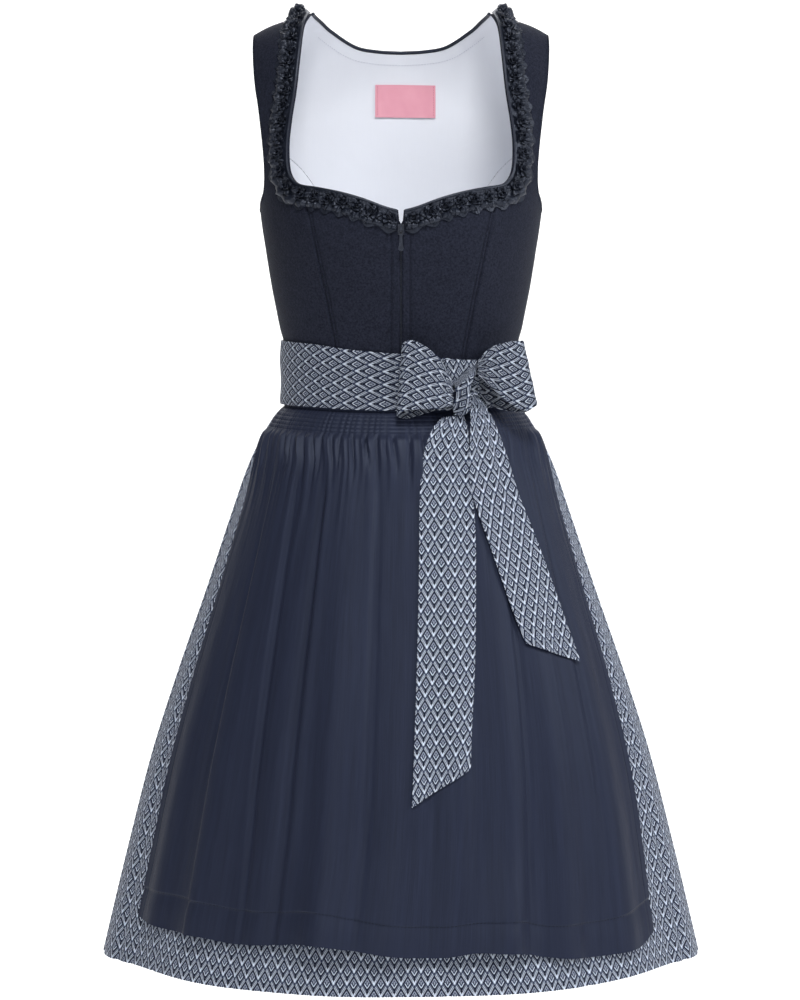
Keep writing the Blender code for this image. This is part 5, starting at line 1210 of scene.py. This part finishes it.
def tieBand():  # the ring between the band's foot and top lines, with long creases
    turned = np.linspace(tieForm["start"] - 360 + 0.2, tieForm["start"] - 0.2, bandDetail["columns"])
    turned = np.where(turned < -180, turned + 360, turned)
    top, foot = curve(tieForm["angle"], tieForm["top"], turned), curve(tieForm["angle"], tieForm["foot"], turned)
    share = np.linspace(0, 1, bandDetail["rows"])[:, None]
    angle = np.radians(turned)[None] + 0 * share
    z = foot + share * (top - foot)
    out = bandDetail["crease"] * np.cos(share * 3 * pi + np.sin(2 * angle)) + creaseOut(bandCreases, turned, share)
    rolled = bandDetail["rolled"] * (bell(share, 0, 0.03) + bell(share, 1, 0.03))
    outer = tiePoint(angle, z, out - rolled)
    around = np.linspace(0, 2 * pi, bandDetail["columns"]) * bandDetail["girth"]  # metres, for the pattern
    # the band takes the darkened turned jacquard: painted shade
    return cloth("tie_band", outer, tieForm["wall"], columnUv(around[None], outer), [jacquardTurned])


def bowLoop(name, s, seed):
    # the strip runs out from the knot in front, folds round and comes back behind; pleats fan out of the knot
    root, tip = np.array(s["root"]), np.array(s["tip"])
    outward = (tip - root) / np.linalg.norm(tip - root)
    backward = np.array([-outward[1], outward[0]]) * math.copysign(1, outward[0])
    path, width = np.meshgrid(np.linspace(0.03, 0.97, 100), np.linspace(0, 1, 34))
    reach = (1 - np.cos(2 * pi * path)) / 2
    bulge = -s["halfGap"] * np.sin(2 * pi * path) * np.abs(np.sin(pi * path)) ** 0.5 - 0.0018 * np.cos(pi * path)
    stretch = reach * (1 + s["lean"] * (0.5 - width))
    flat = root + (tip - root) * stretch[..., None] + backward * bulge[..., None]
    behind = ease(path, 0.35, 0.65)
    low = curve(s["reach"], s["foot"], reach)
    low = low + (curve(s["reach"], s["backFoot"], reach) - low) * behind
    face = np.concatenate([flat, (low + width * (curve(s["reach"], s["top"], reach) - low))[..., None]], -1)
    normal = gridNormals(face)
    middle = np.append((root + tip) / 2, 0)
    if ((face - middle)[..., :2] * normal[..., :2]).sum() < 0:
        face, normal, path, width, reach = [item[:, ::-1] for item in (face, -normal, path, width, reach)]
    fan = np.zeros_like(reach)
    for at, end, height, wide in loopPleats[name]:
        line = 0.5 + (at - 0.5) * (0.75 + 0.45 * reach)
        spread = wide * (0.7 + 0.6 * reach)
        fan = fan + height * bell(width, line, spread) * ease(reach, end, end * 0.25)
    edges = 0.0006 * (bell(width, 0, 0.025) + bell(width, 1, 0.025))
    outer = face + normal * (fan * np.where(path < 0.5, 1, 0.6) - edges
                             + 0.0004 * wander(width * 3 + reach * 2, seed))[..., None]
    tall = np.linalg.norm(outer[-1] - outer[0], axis=-1)[None]
    uv = np.stack([lengths(outer[17])[None] + 0 * width, (width - 0.5) * np.maximum(tall, 0.050)], -1)
    # outside the darkened turned jacquard, inside a much darker copy: painted shade, darkest inside the loop
    made = cloth(name, outer, tieForm["wall"], uv, [jacquardTurned, jacquardPaintedShadeInside])


def bowKnot():
    # the tie wrapped round once: flat oval rings that narrow from the fan to the wrap, with slanting folds in front
    k = knotForm
    turn, level = np.meshgrid(np.linspace(-pi, pi, k["columns"])[:-1],
                              np.linspace(k["z"][-1], k["z"][0], k["rows"]))
    middle, halfWidth, halfDepth = (curve(k["z"], k[size], level) for size in ("middle", "halfWidth", "halfDepth"))
    angle = np.arcsin((k["x"] / tieForm["halfWidth"]) ** (bodiceForm["roundness"] / 2))
    step = 1e-4
    here = tiePoint(np.array(angle), np.array(k["z"][0]))
    way = tiePoint(np.array(angle + step), np.array(0.0)) - tiePoint(np.array(angle - step), np.array(0.0))
    side = way / np.linalg.norm(way)
    outward = np.array([side[1], -side[0], 0])
    across, deep = np.sin(turn), np.cos(turn)
    front = ease(deep, 0, 0.5)
    offset = middle + halfWidth * across
    folds = creaseOut(knotFolds, offset, level) * front
    rim = k["rim"] * np.cos(offset / k["rimPitch"] + level * 260) * front * ease(level, -0.385, -0.362)
    near = 1 - 0.16 * bell(level, -0.3875, 0.004) * (1 - front)
    points = (here[:2] + outward[:2] * (k["clear"] + (halfDepth * (1 + deep) + folds + rim)[..., None])
              + side[:2] * (middle + (halfWidth * near + 0.3 * folds) * across)[..., None])
    points = np.concatenate([points, level[..., None]], -1)
    rows, cols = level.shape
    index = np.arange(rows * cols).reshape(rows, cols)
    faces = tubeQuads(index[:-1], index[1:]).tolist()
    faces += [index[0, ::-1].tolist(), index[-1].tolist()]
    # the pattern as seen from in front, turned on the slant below the fan
    cosine, sine = k["slant"]
    upright = np.stack([offset, level], -1)
    slanted = np.stack([cosine * offset - sine * level, sine * offset + cosine * level], -1) + 0.004
    blend = ease(level - 0.7 * offset, -0.3770, -0.3830)[..., None]
    uv = k["patternSize"] * (upright + (slanted - upright) * blend)
    # the knot's jacquard is darkened: painted shade
    made = putMesh("bow_knot_cloth", points, faces, uv, [jacquardKnot])
    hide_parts("bow_knot")
    return made


def tieTail(name, table, folds):  # rows between a left and a right line, laid in front of the apron
    rows = through(np.array(table, float), 14)[::-1]
    share = np.linspace(0, 1, 25)
    x = rows[:, None, 0] + (rows[:, None, 2] - rows[:, None, 0]) * share
    z = rows[:, None, 1] + (rows[:, None, 3] - rows[:, None, 1]) * share
    down = np.linspace(1, 0, len(rows))[:, None] + 0 * share
    across = share[None] + 0 * down
    out = creaseOut(folds, across, down)
    pinch = 0.0012 * np.cos(across * 2 * pi * 3.5 + 0.8) * ease(down, 0.16, 0.0)
    edges = 0.0004 * (bell(across, 0, 0.02) + bell(across, 1, 0.02))
    lift = rows[:, None, 4] + tieForm["wall"] + out + pinch - edges
    outer = apronFront(skirtAngle(x, z), z, np.maximum(lift, tieForm["wall"] + 0.0004))
    # the pattern runs from the knot: up the tail's middle line, and across it by the true width
    middle = outer[:, len(share) // 2]
    fromTip = lengths(middle)[:, None] + 0 * share
    wide = np.linalg.norm(outer[:, -1] - outer[:, 0], axis=-1)[:, None]
    slope = (rows[:, None, 3] - rows[:, None, 1]) * ease(down, 0.75, 1)
    uv = np.stack([(share - 0.5) * np.maximum(wide, 0.045), fromTip - lengths(middle)[-1] + slope * (share - 0.5)], -1)
    made = cloth(name, outer, tieForm["wall"] - 0.0002, uv, [jacquard])
    normals = gridNormals(outer)
    sewn = stitches("stitches_" + name, outer[3, 1:-1], normals[3, 1:-1], jacquardThread, "jacquard")


jacquardThread = threadFinish("grey blue thread", (0.16, 0.19, 0.28))
band = tieBand()
knot = bowKnot()
bowLoop("bow_loop_l", loopLeft, 2)
bowLoop("bow_loop_r", loopRight, 5)
tieTail("tie_tail_long", tailLong, tailLongFolds)
tieTail("tie_tail_short", tailShort, tailShortFolds)
print("tie made")

# Neck trim: a flat edge band, a ruched base, a chain of spiral ribbon roses and leaf petals on its outer edge.
trimSize = {"width": 0.0235, "clear": 0.0005, "centreX": 0.0036, "edgeBand": 0.0026, "edgeHigh": 0.0015,
            "baseHigh": 0.0008, "scallop": 0.0022, "ruche": 0.0006, "ruchePitch": 0.0027, "thinnest": 0.0009,
            "crest": 0.0095, "crestLength": 0.020, "crestAcross": [0, 0.0040, 0.0095, 0.0175, 0.0235],
            "crestShare": [0, 0.6, 1.0, 0.75, 0.3], "gridWide": 0.030, "gridAcross": 60, "gridAlong": 419}
roseForm = {"pitch": 0.0155, "at": 0.0100, "root": 0.0007, "out": 0.0034, "turns": 1.8, "high": 0.0048, "steps": 64,
            "flare": 0.0013, "ripple": 0.00075, "droop": 0.0014, "wall": 0.00028}
# Rings of petals round a rose: how many, radius at the foot, lean, foot height, rise, half spread, first angle.
petalRings = [(3, 0.0020, 0.0022, 0.0016, 0.0042, 0.95, 0.3), (4, 0.0034, 0.0032, 0.0014, 0.0038, 0.78, 1.1),
              (6, 0.0050, 0.0038, 0.0010, 0.0032, 0.50, 0.6)]
petalWall = (0.00045, 0.00035)  # inward, down
leafForm = {"perRose": 3, "long": 0.0086, "wide": 0.0044, "from": 0.0146, "low": 0.0014, "arch": 0.0034,
            "keel": 0.0030, "lowest": 0.0006, "wall": 0.00045}


def trimGrid():  # points and lifts on the bodice, by distance along the neck edge and across from it
    edge = through(neckFoot + neckSide[1:], 16)
    edge[:, 0] = np.maximum(edge[:, 0], trimSize["centreX"])
    turn = chartTurn(edge[:, 0], edge[:, 1])
    reach = lengths(chart(edge[:, 0], turn))
    walked = np.linspace(0, reach[-1], trimSize["gridAlong"] + 1)
    x, turn = np.interp(walked, reach, edge[:, 0]), np.interp(walked, reach, turn)
    forward = unit(np.gradient(chart(x, turn), axis=0))
    # the step in x and turn that goes away from the edge, solved from the two slopes
    byX, byTurn = chartSlopes(x, turn)
    away = unit(np.cross(forward, unit(np.cross(byTurn, byX))))
    centre = (1 - ease(x, 0.0, 0.030))[:, None]
    away = unit(away * (1 - centre) + np.array([0, 0, -1.0]) * centre)
    xx, tt, xt = (byX * byX).sum(-1), (byTurn * byTurn).sum(-1), (byX * byTurn).sum(-1)
    ax, at = (away * byX).sum(-1), (away * byTurn).sum(-1)
    area = xx * tt - xt**2
    stepX, stepTurn = (ax * tt - at * xt) / area, (at * xx - ax * xt) / area
    width = np.linspace(0, trimSize["gridWide"], trimSize["gridAcross"] + 1)[:, None]
    gridX = np.maximum(x + width * stepX, trimSize["centreX"])
    gridTurn = np.maximum(turn + width * stepTurn, 0)
    byX, byTurn = chartSlopes(gridX, gridTurn)
    lift = unit(np.cross(byTurn, byX))
    return walked[-1], chart(gridX, gridTurn) + seamShift(False), lift


trimLength, trimFace, trimLift = trimGrid()


def onTrim(walk, across, high, crest=1.0):  # that grid read between its points, raised; it stands up at the shoulder
    s = trimSize
    i = np.clip(np.asarray(across, float) / s["gridWide"] * s["gridAcross"], 0, s["gridAcross"] - 0.001)
    j = np.clip(np.asarray(walk, float) / trimLength * s["gridAlong"], 0, s["gridAlong"] - 0.001)
    i0, j0 = i.astype(int), j.astype(int)
    a, b = (i - i0)[..., None], (j - j0)[..., None]

    def read(grid):
        return ((grid[i0, j0] * (1 - b) + grid[i0, j0 + 1] * b) * (1 - a)
                + (grid[i0 + 1, j0] * (1 - b) + grid[i0 + 1, j0 + 1] * b) * a)

    stand = crest * s["crest"] * ease(walk, trimLength - s["crestLength"], trimLength)
    high = np.asarray(high, float) + s["clear"] + stand * curve(s["crestAcross"], s["crestShare"], across)
    return read(trimFace) + unit(read(trimLift)) * high[..., None]


def trimBase():  # a rounded band along the edge, then a ruched base whose outer edge is scalloped
    s = trimSize
    walk, across = np.meshgrid(np.linspace(0, trimLength, 380), np.concatenate([
        np.linspace(0, s["edgeBand"], 9), np.linspace(s["edgeBand"] + 0.0004, s["width"], 22)])[::-1])
    wave = np.cos(2 * pi * walk / roseForm["pitch"] + pi)
    scallop = s["scallop"] * wave * ease(across, s["width"] - 0.006, s["width"])
    onBand = ease(across, s["edgeBand"] + 0.0006, s["edgeBand"])
    ruche = s["ruche"] * (0.5 + 0.5 * np.cos(2 * pi * (walk / s["ruchePitch"] + 0.5 * wander(walk * 60, 3))))
    farSide = np.clip((s["edgeBand"] + 0.0005 - across) / 0.0008, 0, 1)
    rounded = np.sqrt(np.clip(across / 0.0009, 0.05, 1)) * np.sqrt(farSide)
    high = s["edgeHigh"] * np.maximum(rounded * onBand, 0) + (s["baseHigh"] + ruche) * (1 - onBand * (rounded > 0))
    outer = onTrim(walk, across + scallop, np.maximum(high, s["thinnest"]))
    return outer, onTrim(walk, across + scallop, 0.0, 0.0), np.stack([walk, across], -1)


# where the roses sit along the edge and across from it, and how large each is
roseOrder = np.arange(int(round(trimLength / roseForm["pitch"])))
rosePitch = trimLength / len(roseOrder)
roseWalk = (roseOrder + 0.5) * rosePitch + 0.0008 * wander(roseOrder * 0.9, 1)
roseAcross = roseForm["at"] + 0.0007 * wander(roseOrder * 1.3, 4)
roseSize = 1 + 0.10 * wander(roseOrder * 0.7, 2)


def roses():  # a ribbon on edge, wound outwards in a spiral; it leans out and ripples more towards its rim
    r, order = roseForm, roseOrder[:, None]
    t = np.linspace(0, 1, r["steps"])
    spin = 2 * pi * r["turns"] * t[None] ** 0.9 + order * 2.1
    foot = (r["root"] + r["out"] * 0.86 * t[None]) * roseSize[:, None]
    ripple = r["ripple"] * np.cos(spin * 2.6 + order) * t[None] ** 0.7
    top = foot + (0.0002 + r["flare"] * t[None] ** 1.6) + ripple
    tall = r["high"] - r["droop"] * t[None] ** 1.4 + 0.0005 * np.cos(spin * 1.7 + 2 * order)
    low, wall = trimSize["baseHigh"] * 0.6 + 0 * spin, r["wall"]

    def ring(radius, high):
        return onTrim(roseWalk[:, None] + radius * np.cos(spin), roseAcross[:, None] + radius * np.sin(spin), high)

    # six points of the ribbon's section, from the foot up its outside and down its inside
    middle, half = (foot + top) / 2, (low + tall) / 2
    shape = np.stack([ring(foot - wall, low), ring(foot + wall, low),
                      ring(middle + wall * 1.6, half), ring(top + wall, tall),
                      ring(top - wall * 0.6, tall + 0.0002), ring(middle - wall * 0.6, half)], 2)
    steps, sides = shape.shape[1:3]
    index = np.arange(steps * sides).reshape(steps, sides)
    faces = np.stack([index[:-1], index[1:], np.roll(index[1:], -1, 1), np.roll(index[:-1], -1, 1)], -1).reshape(-1, 4)
    ends = np.array([[0, 1, 4, 5], [1, 2, 3, 4]])
    uv = np.stack(np.broadcast_arrays(t[:, None] * 0.06, np.arange(sides) * 0.001), -1)
    return shape, np.concatenate([faces, ends, ends[:, ::-1] + (steps - 1) * sides]), uv


def petals():  # cupped pads that stand in rings round each rose and lean out, their rims rippled
    across, up = np.meshgrid(np.linspace(-1, 1, 8), np.linspace(0, 1, 6))
    faces = [[], []]
    for many, foot, lean, low, rise, spread, first in petalRings:
        bud = np.repeat(roseOrder, many)[:, None, None]
        one = np.tile(np.arange(many), len(roseOrder))[:, None, None]
        seed = bud * 1.7 + one * 2.3
        about = first + one * 2 * pi / many + bud * 1.3 + 0.25 * wander(seed, 3)
        around = about + across * spread * (1 - 0.25 * up**2)
        long = roseSize[bud] * (1 + 0.18 * wander(seed, 7))
        radius = long * (foot + lean * up * (1 - 0.45 * across**2) + 0.0011 * up**3 * np.cos(3 * across + seed))
        high = low + rise * (1 + 0.25 * wander(seed, 5)) * np.sin(up * (pi / 2 + 0.35)) * (1 - 0.35 * across**2)
        high = high + 0.0008 * up * np.cos(4 * across + seed * 2)
        for face, (inward, down) in zip(faces, ((0, 0), petalWall)):
            walk = roseWalk[bud] + (radius - inward) * np.cos(around)
            over = roseAcross[bud] + (radius - inward) * np.sin(around)
            grid = onTrim(walk, np.maximum(over, trimSize["edgeBand"] + 0.0003), np.maximum(high - down, 0.0002))
            face.append(grid.reshape(len(bud), -1, 3))
    uv = np.stack([across * 0.004, up * 0.004], -1)
    return np.concatenate([np.concatenate(face) for face in faces], 1), wallQuads(6, 8)[0], bothFaces(uv, uv)


def leaves():  # pointed pads along the outer edge, each leaning its own way, arched and folded on its middle line
    f = leafForm
    across, up = np.meshgrid(np.linspace(-1, 1, 9), np.linspace(0, 1, 7))
    order = np.arange(len(roseOrder) * f["perRose"])

    def uneven(pace, seed):
        return wander(order * pace, seed)[:, None, None]

    root = ((order + 0.5) * rosePitch / f["perRose"])[:, None, None] + 0.0010 * uneven(0.8, 6)
    lean = 0.55 * uneven(1.9, 9) + 0.35 * np.where(order % 2 == 0, 1, -1)[:, None, None]
    long = f["long"] * (1 + 0.18 * uneven(1.1, 3)) * up
    wide = f["wide"] * np.sin(pi * np.clip(up * 0.86 + 0.14, 0, 1)) ** 0.75 * across
    walk = root + long * np.sin(lean) + wide * np.cos(lean)
    over = f["from"] + long * np.cos(lean) - wide * np.sin(lean)
    high = f["low"] + f["arch"] * np.sin(pi * (0.12 + 0.80 * up)) - f["keel"] * np.abs(across)
    high = high + 0.0012 * across * uneven(2.3, 8)
    high = np.maximum(high + 0.0005 * uneven(1.7, 5), f["lowest"])
    points = [onTrim(walk, over, high - down).reshape(len(order), -1, 3) for down in (0, f["wall"])]
    uv = np.stack([across * 0.004, up * 0.008], -1)
    return np.concatenate(points, 1), wallQuads(7, 9)[0], bothFaces(uv, uv)


def neckTrim():  # the base with its roses, petals and leaves, and the same mirrored
    outer, inner, uv = trimBase()
    quads, _ = wallQuads(*outer.shape[:2])
    small = [("trim_roses", 70, *roses()), ("trim_petals", 60, *petals()), ("trim_leaves", 60, *leaves())]
    for side, ending in twoSides:
        flip = np.array([side, 1, 1])
        ground = putMesh("trim_base" + ending, bothFaces(outer, inner) * flip, quads[:, ::side], bothFaces(uv, uv),
                         [ribbon], sharp=60)
        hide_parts("neck_trim" + ending)
        for name, sharp, shape, faces, oneUv in small:
            points = shape.reshape(len(shape), -1, 3) * flip
            manyUv = np.broadcast_to(oneUv.reshape(-1, 2), (*points.shape[:2], 2))
            copies(name + ending, points, faces[:, ::side], manyUv, [ribbon], sharp)


neckTrim()
print("trim made")

# Stage: a pale floor that sweeps up behind, soft daylight-like lamps, and the camera of the photograph.
stageSizes = {"floorZ": -1.30, "front": -6.0, "back": 2.6, "sweep": 1.4, "high": 4.5, "half": 7.0}
floorLook = {"colour": (0.93, 0.93, 0.93), "dark": (0.92, 0.92, 0.92), "light": (0.945, 0.945, 0.945)}
cameraPlace = {"at": (-0.001, -3.0, -0.33), "aim": (-0.001, 0.0, -0.5065), "lens": 104.03, "sensor": 36.0}
lamps = {  # place, aim, width, watts, colour
    "key": ((0.30, -2.15, 2.20), (0, 0, -0.45), 0.9, 72.0, (1.0, 0.995, 0.985)),
    "side": ((2.3, -0.9, 0.5), (0, 0, -0.35), 1.0, 26.0, (0.97, 0.985, 1.0)),
    "front": ((-0.6, -3.1, 0.2), (0, 0, -0.25), 1.6, 11.0, (0.98, 0.99, 1.0)),
    "behind": ((0.0, 1.6, 0.9), (0, 0.3, -0.4), 1.6, 12.0, (1.0, 1.0, 1.0)),
    "backdrop": ((0.0, 0.9, 1.2), (0, 3.4, -1.1), 1.8, 60.0, (1.0, 1.0, 1.0)),
}


def aimed(thing, place, aim):  # a lamp or a camera, pointed from its place at its aim
    thing.location = place
    thing.rotation_euler = (Vector(aim) - Vector(place)).to_track_quat("-Z", "Y").to_euler()
    return thing


def makeStage():  # the floor's profile carried sideways, then the lamps, the sky and the camera
    s = stageSizes
    turn = np.linspace(0, pi / 2, 24)
    line = np.concatenate([[[s["front"], s["floorZ"]]],
                           np.stack([s["back"] + s["sweep"] * np.sin(turn),
                                     s["floorZ"] + s["sweep"] * (1 - np.cos(turn))], -1),
                           [[s["back"] + s["sweep"], s["high"]]]])
    x = np.linspace(-s["half"], s["half"], 9)
    points = np.stack([np.broadcast_to(x, (len(line), 9)), np.broadcast_to(line[:, :1], (len(line), 9)),
                       np.broadcast_to(line[:, 1:], (len(line), 9))], -1)
    index = np.arange(len(line) * 9).reshape(len(line), 9)
    mesh = bpy.data.meshes.new("floor")
    mesh.from_pydata(points.reshape(-1, 3).tolist(), [], gridQuads(index).tolist())
    mesh.shade_smooth()
    f = Finish("pale floor", floorLook["colour"], {"Emission Color": shade(1, 1, 1), "Emission Strength": 0.30})
    mesh.materials.append(f.surface(floorLook, f.noise(f.space(), 3.0, 2.0), 0.9))
    linked("floor", mesh)
    for name, (place, aim, width, watts, colour) in lamps.items():
        light = bpy.data.lights.new(name, "AREA")
        light.shape, light.size, light.energy, light.color = "DISK", width, watts, colour
        aimed(linked(name, light), place, aim)
    world = bpy.data.worlds.new("daylight")
    world.use_nodes = True
    sky = world.node_tree.nodes["Background"]
    sky.inputs["Color"].default_value, sky.inputs["Strength"].default_value = (0.97, 0.98, 1.0, 1.0), 0.15
    bpy.context.scene.world = world
    bpy.context.scene.view_settings.view_transform = "Standard"
    lens = bpy.data.cameras.new("camera")
    lens.lens, lens.sensor_width, lens.clip_end = cameraPlace["lens"], cameraPlace["sensor"], 60.0
    bpy.context.scene.camera = aimed(linked("camera", lens), cameraPlace["at"], cameraPlace["aim"])


makeStage()
triangles = {o.name: sum(len(p.vertices) - 2 for p in o.data.polygons) for o in bpy.context.scene.objects
             if o.type == "MESH" and not o.hide_render}
print("stage made;", sum(triangles.values()), "triangles, most in", max(triangles, key=triangles.get),
      max(triangles.values()))
